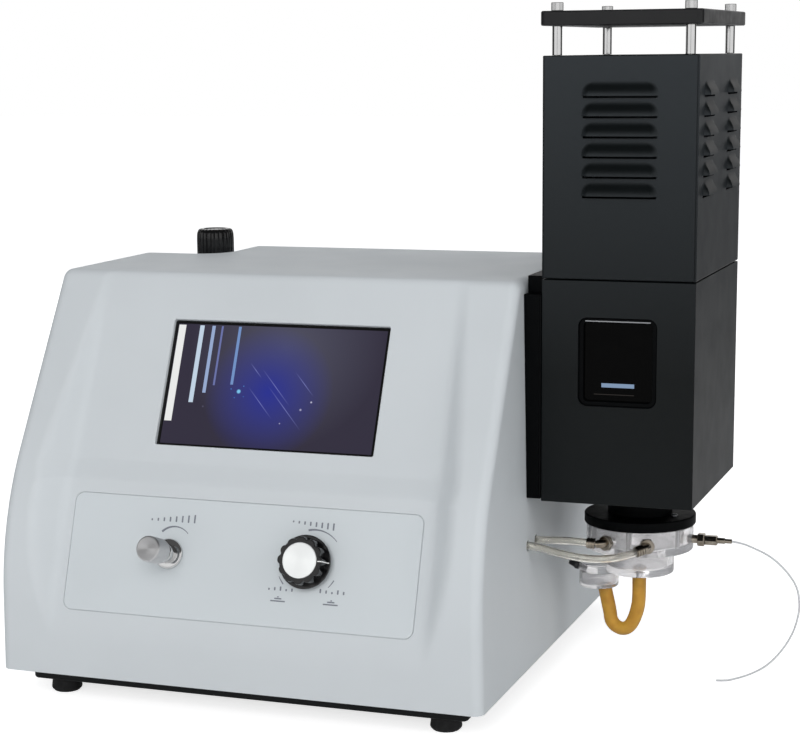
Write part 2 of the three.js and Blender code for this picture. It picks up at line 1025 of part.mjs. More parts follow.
function buildShell(parent) {
  const cavity = cut(shellForm(shell.wall, -overrun, 2), recessForm(shell.wall), notchForm(shell.wall));
  const hull = cut(shellForm(0, 0, 3), recessForm(0), notchForm(0), cavity);
  const lugs = [-1, 1].flatMap((side) => Array.from({ length: lug.count }, (_, index) => {
    const wallInside = shell.centre + side * (shell.width / 2 - shell.wall / 2);
    const inner = wallInside - side * lug.size;
    const reach = shell.depth - pan.rearInset - 2 * lug.firstBack;
    const y = lug.firstBack + (reach * index) / (lug.count - 1);
    const low = pan.flangeLow + pan.sheet + seatGap;
    const [left, right] = [Math.min(wallInside, inner), Math.max(wallInside, inner)];
    return box([left, y - lug.size / 2, low], [right, y + lug.size / 2, low + lug.height]);
  }));
  const bossEnd = moduleFront - screen.bossReach;
  const bosses = earPlaces.map(([x, y]) => placed(
    disc(screen.bossRadius, bossEnd, -shell.wall / 2, 8).translate(x, y, 0), screenFrame));
  const pocketFloor = -fascia.thickness;
  const controlHole = (place, radius) => placed(
    disc(radius, -shell.wall - overrun, overrun).translate(place.across, place.rise, 0), controlFrame);
  const holeSides = 12;
  const sideHole = ([, y, z], radius, sides) => placed(
    disc(radius, -4 * shell.wall - overrun, overrun, sides), alongX(0, y, z));
  const rearHole = placed(
    prism(
      rectangle(rearOpening.low, rear.openingLow, rearOpening.high,
        rear.openingLow + rear.openingHeight, rear.cornerRadius),
      -2 * shell.wall,
      overrun,
    ),
    rearFrame,
  );
  const airHole = placed(
    disc(hose.hole, -overrun, shell.wall + overrun, holeSides),
    towardsFront(regulator.x, notch.front, regulator.portRise),
  );
  const form = cut(
    join(hull, ...lugs, ...bosses),
    placed(screenHole(0, -shell.wall - overrun, overrun), screenFrame),
    placed(fasciaPlate(fitGap, pocketFloor, overrun), controlFrame),
    controlHole(needle, needle.threadRadius + fitGap),
    controlHole(gas, gas.bushingRadius + fitGap),
    sideHole(airWallPlace, hose.hole, holeSides),
    sideHole(gasWallPlace, hose.hole, holeSides),
    sideHole([0, axis.y, optics.rise], optics.spigotRadius + fitGap, 24),
    rearHole,
    airHole,
  );
  piece(parent, "housing_shell", form, paleShell);
}

function buildPan(parent) {
  const left = -shell.width + pan.sideInset;
  const right = -pan.sideInset;
  const back = shell.depth - pan.rearInset;
  const flangeHigh = pan.flangeLow + pan.sheet;
  const flangeSide = shell.wall + pan.edgeGap;
  const flangeBack = shell.depth - shell.wall / behind.cos - flangeHigh * Math.tan(shell.rearLean);
  const slots = Array.from({ length: pan.slotCount }, (_, index) => {
    const y = back - pan.slotBack - index * pan.slotPitch;
    const half = pan.slotLength / 2;
    const outlinePoints = rectangle(-half, -pan.slotWidth / 2, half, pan.slotWidth / 2,
      (pan.slotWidth - seatGap) / 2, 1);
    return prism(outlinePoints, -pan.drop - overrun, panFloor + overrun / 2)
      .translate(shell.centre / 2, y, 0);
  });
  const form = cut(
    join(
      box([left, pan.front, -pan.drop], [right, back, flangeHigh]),
      prism(
        rectangle(-shell.width + flangeSide, flangeSide, -flangeSide, flangeBack - pan.edgeGap,
          shell.edgeRadius, 3),
        pan.flangeLow,
        flangeHigh,
      ),
    ),
    box(
      [left + pan.sheet, pan.front + pan.sheet, panFloor],
      [right - pan.sheet, back - pan.sheet, flangeHigh + overrun],
    ),
    ...slots,
  );
  piece(parent, "base_plate", form, blackPaint);
}

function buildFeet(parent) {
  const top = -pan.drop - seatGap;
  const low = -pan.drop - foot.height;
  const profile = [
    [0, top],
    [foot.topRadius, top],
    [foot.radius, low + foot.edge],
    [foot.radius - foot.edge, low],
    [foot.screwRadius, low],
    [foot.screwRadius, low + foot.screwDepth],
    [0, low + foot.screwDepth],
  ];
  const sides = { left: -shell.width + foot.sideInset, right: -foot.sideInset };
  const rows = { front: foot.front, rear: shell.depth - foot.rearInset };
  Object.entries(rows).forEach(([row, y]) => {
    Object.entries(sides).forEach(([side, x]) => {
      const standing = groupAt(parent, new THREE.Matrix4().makeTranslation(x, y, 0));
      piece(standing, `foot_${row}_${side}`, turned(profile, 18), blackRubber);
    });
  });
}

function buildFront(parent) {
  const controls = groupAt(parent, controlFrame);
  const plate = cut(
    fasciaPlate(0, -fascia.thickness + seatGap, 0),
    disc(needle.threadRadius + fitGap, -overrun, overrun).translate(needle.across, needle.rise, 0),
    disc(gas.bushingRadius + fitGap, -overrun, overrun).translate(gas.across, gas.rise, 0),
  );
  piece(controls, "control_fascia", plate, paleFilm);

  const display = groupAt(parent, screenFrame);
  const glassFront = -shell.wall - seatGap;
  piece(
    display,
    "touch_glass",
    screenHole(screen.glassMargin, glassFront - screen.glassThickness, glassFront),
    darkGlass,
  );
  const moduleBack = moduleFront - screen.moduleDepth;
  const earFront = moduleFront - screen.bossReach - seatGap;
  const ears = earPlaces.map(([x, y]) => {
    const inward = Math.sign(screen.across - x) * screen.earLength;
    const [left, right] = [Math.min(x + inward, x - inward / 3), Math.max(x + inward, x - inward / 3)];
    return box(
      [left, y - screen.earWidth / 2, earFront - screen.earThickness],
      [right, y + screen.earWidth / 2, earFront],
    );
  });
  const back = screenHole(screen.glassMargin - screen.boardInset, moduleBack - screen.boardDepth, moduleBack);
  const body = screenHole(screen.glassMargin, moduleBack, moduleFront);
  piece(display, "display_module", join(body, back, ...ears), steel);
}

// Controls, each in its own frame with Z out of the face

function buildNeedleValve(parent) {
  const frame = controlFrame.clone().multiply(
    new THREE.Matrix4().makeTranslation(needle.across, needle.rise, 0));
  const valve = groupAt(parent, frame);
  const bore = needle.spindleRadius + turnGap;
  const inside = -shell.wall - seatGap;
  const barrelEnd = inside - needle.barrelLength;
  const boreEnd = -needle.spindleInside - fitGap;
  const portDepth = inside - needle.barrelLength / 2;
  const portEnd = needle.barrelRadius + needle.portReach;
  const barrel = turned([
    [bore, needle.bezelThickness],
    [needle.threadRadius, needle.bezelThickness],
    [needle.threadRadius, inside],
    [needle.barrelRadius, inside],
    [needle.barrelRadius, barrelEnd],
    [hose.barb, barrelEnd],
    [hose.barb, barrelEnd - hose.barbLength],
    [hose.barbBore, barrelEnd - hose.barbLength],
    [hose.barbBore, boreEnd],
    [bore, boreEnd],
    [bore, needle.bezelThickness],
  ], 12);
  const port = placed(disc(needle.portRadius, needle.threadRadius, portEnd, 10), alongX(0, 0, portDepth));
  const portBore = placed(disc(gas.portRadius, 0, portEnd + overrun, 8), alongX(0, 0, portDepth));
  piece(valve, "needle_valve_body", cut(join(barrel, port), portBore), brass);

  const bezel = turned([
    [needle.threadRadius + seatGap, seatGap],
    [needle.bezelRadius, seatGap],
    [needle.bezelRadius, needle.bezelThickness - needle.bossEdge],
    [needle.bezelRadius - needle.bossEdge, needle.bezelThickness],
    [needle.bossRadius, needle.bezelThickness],
    [needle.bossRadius, needle.bossLength - needle.bossEdge],
    [needle.bossRadius - needle.bossEdge, needle.bossLength],
    [bore, needle.bossLength],
    [bore, needle.bezelThickness + seatGap],
    [needle.threadRadius + seatGap, needle.bezelThickness + seatGap],
    [needle.threadRadius + seatGap, seatGap],
  ], 20);
  piece(valve, "needle_valve_bezel", bezel, chrome);

  const knobBack = needle.knobFront - needle.knobLength;
  const knob = turned([
    [0, -needle.spindleInside],
    [needle.spindleRadius, -needle.spindleInside],
    [needle.spindleRadius, knobBack],
    [needle.knobRadius - needle.knobEdge, knobBack],
    [needle.knobRadius, knobBack + needle.knobEdge],
    [needle.knobRadius, needle.knobFront - needle.knobEdge],
    [needle.knobRadius - needle.knobEdge, needle.knobFront],
    [0, needle.knobFront - needle.knobDish],
  ], 24);
  piece(valve, "needle_valve_knob", knob, chrome);
}

function fluted(radius) {
  const count = gas.fluteCount * gas.fluteSteps;
  return Array.from({ length: count }, (_, step) => {
    const turn = (step / count) * 2 * Math.PI;
    const dip = (1 - Math.cos(gas.fluteCount * turn)) / 2;
    const reach = radius - gas.fluteDepth * dip * dip;
    return new THREE.Vector2(reach, 0).rotateAround(new THREE.Vector2(), turn);
  });
}

function buildGasValve(parent) {
  const frame = controlFrame.clone().multiply(new THREE.Matrix4().makeTranslation(gas.across, gas.rise, 0));
  const valve = groupAt(parent, frame);
  const inside = -shell.wall - seatGap;
  const half = gas.bodyWidth / 2;
  const bodyBack = inside - gas.bodyLength;
  const bore = gas.spindleRadius + turnGap;
  const chamberBack = -gas.chamberStart - gas.chamberLength;
  const needlePort = needle.across + needle.barrelRadius + needle.portReach;
  const pipeFrame = frameAt(
    [0, needle.rise - gas.rise, inside - needle.barrelLength / 2], [0, 1, 0], [-1, 0, 0]);
  const pipeEnd = gas.across - needlePort - seatGap;
  const body = cut(
    join(
      prism(rectangle(-half, -half, half, half, gas.bodyEdge), bodyBack, inside),
      disc(gas.bushingRadius, inside - seatGap, gas.nutThickness + gas.threadProud, 12),
      hexagon(gas.nutRadius, seatGap, gas.nutThickness),
      disc(hose.barb, bodyBack - hose.barbLength, bodyBack + seatGap, 8),
      placed(disc(gas.pipeRadius, half - seatGap, pipeEnd, 10), pipeFrame),
    ),
    disc(bore, -gas.chamberStart - seatGap, gas.nutThickness + overrun, 12),
    disc(gas.chamberRadius, chamberBack, -gas.chamberStart, 14),
    disc(hose.barbBore, bodyBack - hose.barbLength - overrun, chamberBack + seatGap, 6),
    placed(disc(gas.portRadius, 0, pipeEnd + overrun, 8), pipeFrame),
  );
  piece(valve, "gas_valve_body", body, brass);

  const plungerFront = -gas.spindleInside - fitGap;
  const plunger = disc(gas.chamberRadius - 2 * turnGap, plungerFront - gas.plungerLength, plungerFront, 14);
  piece(valve, "gas_valve_plunger", plunger, steel);

  const gripLow = gas.skirtLift + gas.skirtThickness;
  const gripHigh = gripLow + gas.gripHeight;
  const spindleEnd = gripHigh - gas.capSink - 2 * gas.skirtThickness;
  piece(valve, "gas_valve_spindle", disc(gas.spindleRadius, -gas.spindleInside, spindleEnd, 12), steel);

  const grip = loft([[gas.gripRadius, gripLow - seatGap], [gas.gripFrontRadius, gripHigh]].map(
    ([radius, height]) => fluted(radius).map(({ x, y }) => new THREE.Vector3(x, y, height))));
  const skirt = turned([
    [0, gas.skirtLift],
    [gas.skirtRadius, gas.skirtLift],
    [gas.skirtRadius, gripLow - gas.capEdge],
    [gas.skirtRadius - gas.capEdge, gripLow],
    [0, gripLow],
  ], 32);
  const knob = cut(
    join(skirt, grip),
    disc(gas.nutRadius + gas.skirtThickness, gas.skirtLift - overrun, gas.skirtLift + gas.push, 16),
    disc(gas.spindleRadius + seatGap, gas.skirtLift, spindleEnd + seatGap, 12),
    disc(gas.capRadius + seatGap, gripHigh - gas.capSink - seatGap, gripHigh + overrun, 24),
  );
  piece(valve, "gas_knob", knob, blackPlastic);

  const capHigh = gripHigh + gas.capProud;
  const cap = turned([
    [0, gripHigh - gas.capSink],
    [gas.capRadius, gripHigh - gas.capSink],
    [gas.capRadius, capHigh - gas.capEdge],
    [gas.capRadius - gas.capEdge, capHigh],
    [0, capHigh],
  ], 24);
  piece(valve, "gas_knob_cap", cap, aluminium);
}

function buildRegulator(parent) {
  const standing = groupAt(parent, new THREE.Matrix4().makeTranslation(regulator.x, regulator.y, 0));
  const half = regulator.bodyWidth / 2;
  const front = towardsFront(0, 0, regulator.portRise);
  const backward = frameAt([0, 0, regulator.portRise], [-1, 0, 0], [0, 1, 0]);
  const portEnd = half + regulator.portLength;
  const wellFloor = regulator.bodyHigh - regulator.wellDepth;
  const body = cut(
    join(
      prism(rectangle(-half, -half, half, half, regulator.bodyEdge), regulator.bodyLow, regulator.bodyHigh),
      placed(disc(hose.barb, half - seatGap, half + hose.barbLength, 8), front),
      placed(disc(regulator.portRadius, half - seatGap, portEnd, 16), backward),
    ),
    placed(disc(hose.barbBore, 0, half + hose.barbLength + overrun, 8), front),
    placed(disc(regulator.portBore, half - regulator.portDepth, portEnd + overrun, 12), backward),
    placed(disc(hose.barbBore, -overrun, half, 8), backward),
    disc(regulator.wellRadius, wellFloor, regulator.bodyHigh + overrun, 16),
    disc(hose.barbBore, regulator.portRise - overrun, wellFloor + overrun, 8),
  );
  piece(standing, "regulator_body", body, aluminium);

  const bowlHigh = regulator.bodyLow - seatGap;
  const bowlRoot = regulator.bowlLow + regulator.bowlNose;
  const bowlInside = regulator.bowlRadius - regulator.bowlWall;
  const bowl = turned([
    [0, regulator.bowlLow],
    [regulator.bowlNoseRadius, regulator.bowlLow],
    [regulator.bowlNoseRadius, bowlRoot - regulator.bowlWall],
    [regulator.bowlRadius - regulator.bowlWall, bowlRoot],
    [regulator.bowlRadius, bowlRoot + regulator.bowlWall],
    [regulator.bowlRadius, bowlHigh],
    [bowlInside, bowlHigh],
    [bowlInside, bowlRoot + 2 * regulator.bowlWall],
    [0, bowlRoot + regulator.bowlWall],
  ], 16);
  piece(standing, "regulator_bowl", bowl, clearAcrylic);

  const plateLow = regulator.bodyHigh + seatGap;
  const plateHigh = plateLow + regulator.bracketSheet;
  const bracketSide = -notch.side - seatGap - regulator.x;
  const bracketHalf = regulator.bracketWidth / 2;
  const bracket = cut(
    join(
      box([-regulator.bonnetRadius, -bracketHalf, plateLow], [bracketSide, bracketHalf, plateHigh]),
      box(
        [bracketSide - regulator.bracketSheet, -bracketHalf, plateHigh - regulator.bracketHeight],
        [bracketSide, bracketHalf, plateHigh],
      ),
    ),
    disc(regulator.bonnetNeck + fitGap, plateLow - overrun, plateHigh + overrun),
  );
  piece(standing, "regulator_bracket", bracket, steel);

  const shoulder = plateHigh + seatGap;
  const bore = regulator.screwRadius + turnGap;
  const bonnet = turned([
    [regulator.wellRadius, plateLow],
    [regulator.bonnetNeck, plateLow],
    [regulator.bonnetNeck, shoulder],
    [regulator.bonnetRadius, shoulder],
    [regulator.bonnetRadius, shoulder + regulator.knobEdge],
    [regulator.bonnetTopRadius, regulator.bonnetHigh],
    [bore, regulator.bonnetHigh],
    [bore, shoulder + regulator.knobEdge],
    [regulator.wellRadius, shoulder],
    [regulator.wellRadius, plateLow],
  ], 16);
  piece(standing, "regulator_bonnet", bonnet, blackPlastic);

  const footLow = wellFloor + fitGap;
  const footRadius = regulator.wellRadius - turnGap;
  const screw = join(
    turned([
      [0, footLow],
      [footRadius, footLow],
      [footRadius, footLow + regulator.screwFoot],
      [regulator.screwRadius, footLow + regulator.screwFoot],
      [regulator.screwRadius, regulator.bonnetHigh],
      [0, regulator.bonnetHigh],
    ], 14),
    hexagon(regulator.screwRadius, regulator.bonnetHigh - seatGap, regulator.screwHigh),
  );
  piece(standing, "regulator_screw", screw, brass);

  const ribbed = Array.from({ length: 2 * regulator.knobRibs }, (_, step) => {
    const reach = regulator.knobRadius - (step % 2) * regulator.knobRib;
    const turn = (step / regulator.knobRibs) * Math.PI;
    return new THREE.Vector2(reach, 0).rotateAround(new THREE.Vector2(), turn);
  });
  const crown = turned([
    [0, regulator.knobLow],
    [regulator.knobRadius, regulator.knobLow],
    [regulator.knobRadius, regulator.knobHigh - regulator.knobEdge],
    [regulator.knobRadius - regulator.knobEdge / 3, regulator.knobHigh - regulator.knobEdge / 3],
    [regulator.knobRadius - regulator.knobEdge, regulator.knobHigh],
    [0, regulator.knobHigh],
  ], 36);
  const knobInside = regulator.knobRadius - regulator.knobRib - regulator.knobWall;
  const hub = regulator.screwRadius + fitGap + regulator.knobWall;
  const knob = cut(
    common(prism(ribbed, regulator.knobLow - overrun, regulator.knobHigh + overrun), crown),
    turned([
      [hub, regulator.knobLow - overrun],
      [knobInside, regulator.knobLow - overrun],
      [knobInside, regulator.knobHigh - 2 * regulator.knobWall],
      [hub, regulator.knobHigh - 2 * regulator.knobWall],
      [hub, regulator.knobLow - overrun],
    ]),
    hexagon(regulator.screwRadius + turnGap, regulator.knobLow - overrun, regulator.screwHigh + fitGap),
  );
  piece(standing, "regulator_knob", knob, blackPlastic);
}

// Inside the console, standing on the pan

function buildBoards(parent) {
  const floor = panFloor + seatGap;
  const supplyForm = prism(
    rectangle(supply.left, supply.front, supply.left + supply.width, supply.front + supply.depth,
      supply.edge, 2),
    floor,
    floor + supply.height,
  );
  piece(parent, "power_supply", supplyForm, aluminium);

  const plateLow = floor + board.legHeight;
  const plateHigh = plateLow + board.thickness;
  const right = board.left + board.width;
  const back = board.front + board.depth;
  const legs = [board.left + board.legInset, right - board.legInset].flatMap((x) =>
    [board.front + board.legInset, back - board.legInset].map((y) =>
      disc(board.legRadius, floor, plateLow + seatGap, 8).translate(x, y, 0)));
  const blocks = board.blockShares.map(([x, y, wide, deep, high]) => box(
    [board.left + x * board.width, board.front + y * board.depth, plateHigh - seatGap],
    [
      board.left + (x + wide) * board.width,
      board.front + (y + deep) * board.depth,
      plateHigh + high * board.blockHeight,
    ],
  ));
  const plate = box([board.left, board.front, plateLow], [right, back, plateHigh]);
  piece(parent, "main_board", join(plate, ...legs, ...blocks), boardGreen);
}

// Rear panel and what it carries, with Z out of the rear face

function barbedShank(start, way) {
  const step = gasInlet.barbLength / gasInlet.barbCount;
  return Array.from({ length: gasInlet.barbCount }, (_, index) => [
    [gasInlet.barbRadius - gasInlet.barbLip, start + way * index * step],
    [gasInlet.barbRadius, start + way * index * step],
    [gasInlet.barbRadius - gasInlet.barbLip, start + way * (index + 1) * step],
  ]).flat();
}

function buildRear(parent) {
  const back = groupAt(parent, rearFrame);
  const panelFront = -shell.wall - seatGap;
  const panelBack = panelFront - rear.panelThickness;
  const holeAt = (place, half, halfHeight, radius) => prism(
    rectangle(place.across - half, place.rise - halfHeight, place.across + half, place.rise + halfHeight,
      radius, 1),
    panelBack - overrun,
    panelFront + overrun,
  );
  const bodyHalf = inlet.width / 2 - inlet.bodyMargin;
  const bodyHalfHeight = inlet.height / 2 - inlet.bodyMargin;
  const vents = Array.from({ length: rear.ventCount }, (_, index) => holeAt(
    { across: rear.ventAcross, rise: rear.ventRise + index * rear.ventPitch },
    rear.ventLength / 2,
    rear.ventWidth / 2,
    0,
  ));
  const plate = prism(
    rectangle(rearOpening.low - rear.overlap, rear.openingLow - rear.overlap, rearOpening.high + rear.overlap,
      rear.openingLow + rear.openingHeight + rear.overlap, rear.cornerRadius),
    panelBack,
    panelFront,
  );
  const panel = cut(
    plate,
    holeAt(inlet, bodyHalf + fitGap, bodyHalfHeight + fitGap, 0),
    disc(gasInlet.shankRadius + fitGap, panelBack - overrun, panelFront + overrun)
      .translate(gasInlet.across, gasInlet.rise, 0),
    ...vents,
  );
  piece(back, "rear_panel", panel, blackPaint);

  const module = groupAt(back, new THREE.Matrix4().makeTranslation(inlet.across, inlet.rise, panelFront));
  const socketFront = inlet.flange;
  const socket = (margin) => rectangle(
    -inlet.socketWidth / 2 + margin,
    -inlet.socketDrop - inlet.socketHeight / 2 + margin,
    inlet.socketWidth / 2 - margin,
    -inlet.socketDrop + inlet.socketHeight / 2 - margin,
    inlet.socketRadius,
    3,
  );
  const socketFloor = socketFront - inlet.socketDepth;
  const pins = [-1, 0, 1].map((place) => {
    const x = place * inlet.pinPitch;
    const y = -inlet.socketDrop + (place === 0 ? inlet.pinStep : -inlet.pinStep) / 2;
    return box(
      [x - inlet.pinWidth / 2, y - inlet.pinThickness / 2, socketFloor - seatGap],
      [x + inlet.pinWidth / 2, y + inlet.pinThickness / 2, socketFloor + inlet.pinLength],
    );
  });
  const wellFloor = socketFront - inlet.wellDepth;
  const well = box(
    [-inlet.wellWidth / 2, inlet.wellRise - inlet.wellHeight / 2, wellFloor],
    [inlet.wellWidth / 2, inlet.wellRise + inlet.wellHeight / 2, socketFront + overrun],
  );
  const pivotHole = placed(
    disc(rocker.pinRadius + turnGap / 2, -inlet.wellWidth / 2 - rocker.pinReach - fitGap,
      inlet.wellWidth / 2 + rocker.pinReach + fitGap, 8),
    alongX(0, inlet.wellRise, socketFront - rocker.pivotSink),
  );
  const housing = join(
    cut(
      join(
        prism(rectangle(-inlet.width / 2, -inlet.height / 2, inlet.width / 2, inlet.height / 2,
          inlet.bodyMargin), seatGap, socketFront),
        box([-bodyHalf, -bodyHalfHeight, seatGap - inlet.bodyDepth], [bodyHalf, bodyHalfHeight, 2 * seatGap]),
      ),
      prism(socket(0), socketFloor, socketFront + overrun),
      well,
      pivotHole,
    ),
    ...pins,
  );
  piece(module, "mains_inlet", housing, blackPlastic);

  const pivot = new THREE.Matrix4().makeTranslation(0, inlet.wellRise, socketFront - rocker.pivotSink);
  const paddle = groupAt(module, pivot.multiply(new THREE.Matrix4().makeRotationX(-rocker.tilt)));
  const halfWide = inlet.wellWidth / 2 - rocker.gap;
  const crestShares = [1, 0.5, 0, -0.5, -1];
  const crest = crestShares.map((share) => new THREE.Vector2(
    share * rocker.crestHalf,
    rocker.pivotSink + rocker.proud * share ** 2,
  ));
  const sideShape = [
    new THREE.Vector2(-rocker.rootHalf, -rocker.sink),
    new THREE.Vector2(rocker.rootHalf, -rocker.sink),
    ...crest,
  ];
  const rockerForm = join(
    placed(prism(sideShape, -halfWide, halfWide), alongX(0, 0, 0)),
    placed(disc(rocker.pinRadius, -halfWide - rocker.gap - rocker.pinReach,
      halfWide + rocker.gap + rocker.pinReach, 8), alongX(0, 0, 0)),
  );
  piece(paddle, "power_rocker", rockerForm, blackPlastic);

  const union = groupAt(
    back,
    new THREE.Matrix4().makeTranslation(gasInlet.across, gasInlet.rise, panelFront),
  );
  const nutBack = -rear.panelThickness - 2 * seatGap - gasInlet.nutLength;
  const tail = nutBack - hose.barbLength;
  const gasUnion = cut(
    join(
      turned([
        [0, tail],
        [hose.barb, tail],
        [hose.barb, nutBack],
        [gasInlet.shankRadius, nutBack],
        [gasInlet.shankRadius, gasInlet.hexLength],
        ...barbedShank(gasInlet.hexLength, 1),
        [0, gasInlet.hexLength + gasInlet.barbLength],
      ], 12),
      hexagon(gasInlet.hexRadius, seatGap, gasInlet.hexLength),
      hexagon(gasInlet.hexRadius, nutBack, nutBack + gasInlet.nutLength),
    ),
    disc(hose.barbBore, tail - overrun, gasInlet.hexLength + gasInlet.barbLength + overrun, 6),
  );
  piece(union, "gas_inlet", gasUnion, brass);
}

// Tower

const towerRight = tower.left + tower.width;
const towerBack = tower.front + tower.depth;
const rodPlaces = ["front", "rear"].flatMap((row) => ["left", "right"].map((side) => ({
  name: `tie_rod_${row}_${side}`,
  x: side === "left" ? tower.left + rod.sideInset : towerRight - rod.sideInset,
  y: row === "front" ? tower.front + rod.frontInset : towerBack - rod.frontInset,
})));

function towerOutline(inset, radius) {
  return rectangle(tower.left + inset, tower.front + inset, towerRight - inset, towerBack - inset, radius, 2);
}

function lightHole(radius, left, right) {
  return placed(disc(radius, left, right, 24), alongX(0, axis.y, optics.rise));
}

function windowOutline(inset) {
  return rectangle(-window.width / 2 + inset, inset, window.width / 2 - inset, window.height - inset,
    Math.max(window.cornerRadius - inset, window.lipThickness));
}

function buildBridge(parent) {
  const corners = [
    [bridge.front, bridge.low],
    [bridge.back, bridge.low],
    [bridge.back, bridge.high],
    [bridge.shoulderBack, bridge.high],
    [bridge.shoulderBack, bridge.shoulder],
    [bridge.front, bridge.shoulder],
  ];
  const againstShell = corners.map(([y, z]) => new THREE.Vector3(seatGap - shell.draftShare * z, y, z));
  const againstTower = corners.map(([y, z]) => new THREE.Vector3(tower.left - seatGap, y, z));
  const hole = lightHole(optics.spigotRadius + fitGap, -overrun - shell.draftShare * bridge.high,
    tower.left + overrun);
  piece(parent, "tower_bridge", cut(loft([againstShell, againstTower]), hole), blackPaint);
}

function buildHousing(parent) {
  const windowFrame = towardsFront(axis.x, tower.front, window.low);
  const form = cut(
    prism(towerOutline(0, tower.edgeRadius), tower.bottom, tower.seam),
    prism(towerOutline(tower.sheet, 0), tower.bottom + tower.sheet, tower.seam - tower.sheet),
    prism(towerOutline(tower.seamLip, tower.edgeRadius), tower.seam - 2 * tower.sheet,
      tower.seam + overrun),
    placed(prism(windowOutline(0), -tower.sheet - overrun, overrun), windowFrame),
    lightHole(optics.boreRadius, tower.left - overrun, tower.left + tower.sheet + overrun),
    disc(burner.spigotRadius + fitGap, tower.bottom - overrun, tower.bottom + tower.sheet + overrun, 24)
      .translate(axis.x, axis.y, 0),
    disc(spark.insulatorRadius + fitGap, tower.bottom - overrun, tower.bottom + tower.sheet + overrun, 12)
      .translate(axis.x + spark.across, axis.y + spark.back, 0),
  );
  piece(parent, "burner_housing", form, blackPaint);

  const sight = groupAt(parent, windowFrame);
  const lipFront = -tower.sheet - seatGap;
  const frameBack = -window.frameSetback - window.frameDepth;
  const glassFront = -window.glassSetback;
  const frame = cut(
    join(
      prism(windowOutline(fitGap), frameBack, -window.frameSetback),
      prism(windowOutline(-window.lipWidth), lipFront - window.lipThickness, lipFront),
    ),
    prism(windowOutline(window.frameWall), frameBack - overrun, overrun),
    prism(windowOutline(window.frameWall - window.lipThickness), frameBack - overrun, glassFront),
  );
  piece(sight, "window_frame", frame, blackPlastic);
  const paneInset = window.frameWall - window.lipThickness + fitGap / 2;
  const pane = prism(windowOutline(paneInset), glassFront - seatGap - window.glassThickness,
    glassFront - seatGap);
  piece(sight, "window_glass", pane, darkGlass);
}

// One louvre in a frame with X along it, Y up and Z out of the wall.
function louvreForm(width, sheet) {
  const height = louvre.height - sheet;
  const bulge = louvre.bulge - sheet;
  const low = sheet > 0 ? -tower.sheet : 0;
  const sink = sheet > 0 ? tower.sheet + overrun : tower.sheet / 2;
  return loft(Array.from({ length: louvre.steps + 1 }, (_, step) => {
    const share = Math.sin((step / louvre.steps) * louvre.turnShare * Math.PI);
    const round = Math.sqrt(1 - share * share);
    const half = width / 2 - sheet - louvre.cornerRadius * (1 - round);
    const out = bulge * round;
    const y = step === 0 ? low : share * height;
    return [
      [-half, -sink], [-half, 0], [-half + out, out], [half - out, out], [half, 0], [half, -sink],
    ].map(([x, z]) => new THREE.Vector3(x, y, z));
  }));
}

function louvrePlaces() {
  const rows = Array.from({ length: louvre.rows }, (_, row) => louvre.lowest + row * louvre.pitch);
  const sideReach = louvre.sideInset + louvre.sideWidth / 2;
  const columns = [tower.front + sideReach, towerBack - sideReach];
  return rows.flatMap((z) => [
    { width: louvre.frontWidth, frame: towardsFront(axis.x, tower.front, z) },
    ...columns.flatMap((y) => [
      { width: louvre.sideWidth, frame: frameAt([towerRight, y, z], [0, 1, 0], [1, 0, 0]) },
      { width: louvre.sideWidth, frame: frameAt([tower.left, y, z], [0, -1, 0], [-1, 0, 0]) },
    ]),
  ]);
}

function buildChimney(parent) {
  const low = tower.seam + seatGap;
  const hoods = louvrePlaces().map(({ width, frame }) => placed(louvreForm(width, 0), frame));
  const mouths = louvrePlaces().map(({ width, frame }) => placed(louvreForm(width, louvre.sheet), frame));
  const rodHoles = rodPlaces.map(({ x, y }) =>
    disc(rod.shankRadius + fitGap, tower.top - 2 * tower.sheet, tower.top + overrun, 10).translate(x, y, 0));
  const walls = cut(
    prism(towerOutline(0, tower.edgeRadius), low, tower.top),
    prism(towerOutline(tower.sheet, 0), low - overrun, tower.top - tower.sheet),
    prism(towerOutline(tower.lip, tower.edgeRadius), tower.top - 2 * tower.sheet, tower.top + overrun),
  );
  piece(parent, "chimney", cut(join(walls, ...hoods), ...mouths, ...rodHoles), blackPaint);
}

function buildBaffle(parent) {
  const high = baffle.low + baffle.thickness;
  const plate = cut(
    prism(
      rectangle(
        tower.left - baffle.sideOverhang,
        tower.front - baffle.frontOverhang,
        towerRight + baffle.sideOverhang,
        towerBack + baffle.frontOverhang,
        baffle.cornerRadius,
      ),
      baffle.low,
      high,
    ),
    ...rodPlaces.map(({ x, y }) =>
      disc(rod.shankRadius + fitGap, baffle.low - overrun, high + overrun, 10).translate(x, y, 0)),
  );
  piece(parent, "baffle_plate", plate, blackPaint);

  const nutHigh = tower.top - tower.sheet - seatGap;
  const nutLow = nutHigh - rod.nutHeight;
  const headLow = high + seatGap;
  const headHigh = headLow + rod.headHeight;
  const profile = [
    [0, nutLow],
    [rod.nutRadius, nutLow],
    [rod.nutRadius, nutHigh],
    [rod.shankRadius, nutHigh],
    [rod.shankRadius, tower.top + seatGap],
    [rod.radius, tower.top + seatGap],
    [rod.radius, baffle.low - seatGap],
    [rod.shankRadius, baffle.low - seatGap],
    [rod.shankRadius, headLow],
    [rod.headRadius, headLow],
    [rod.headRadius, headHigh],
    [rod.socketRadius, headHigh],
    [rod.socketRadius, headHigh - rod.socketDepth],
    [0, headHigh - rod.socketDepth],
  ];
  rodPlaces.forEach(({ name, x, y }) => {
    const standing = groupAt(parent, new THREE.Matrix4().makeTranslation(x, y, 0));
    piece(standing, name, turned(profile, 10), chrome);
  });
}

// Burner, on the tower's axis

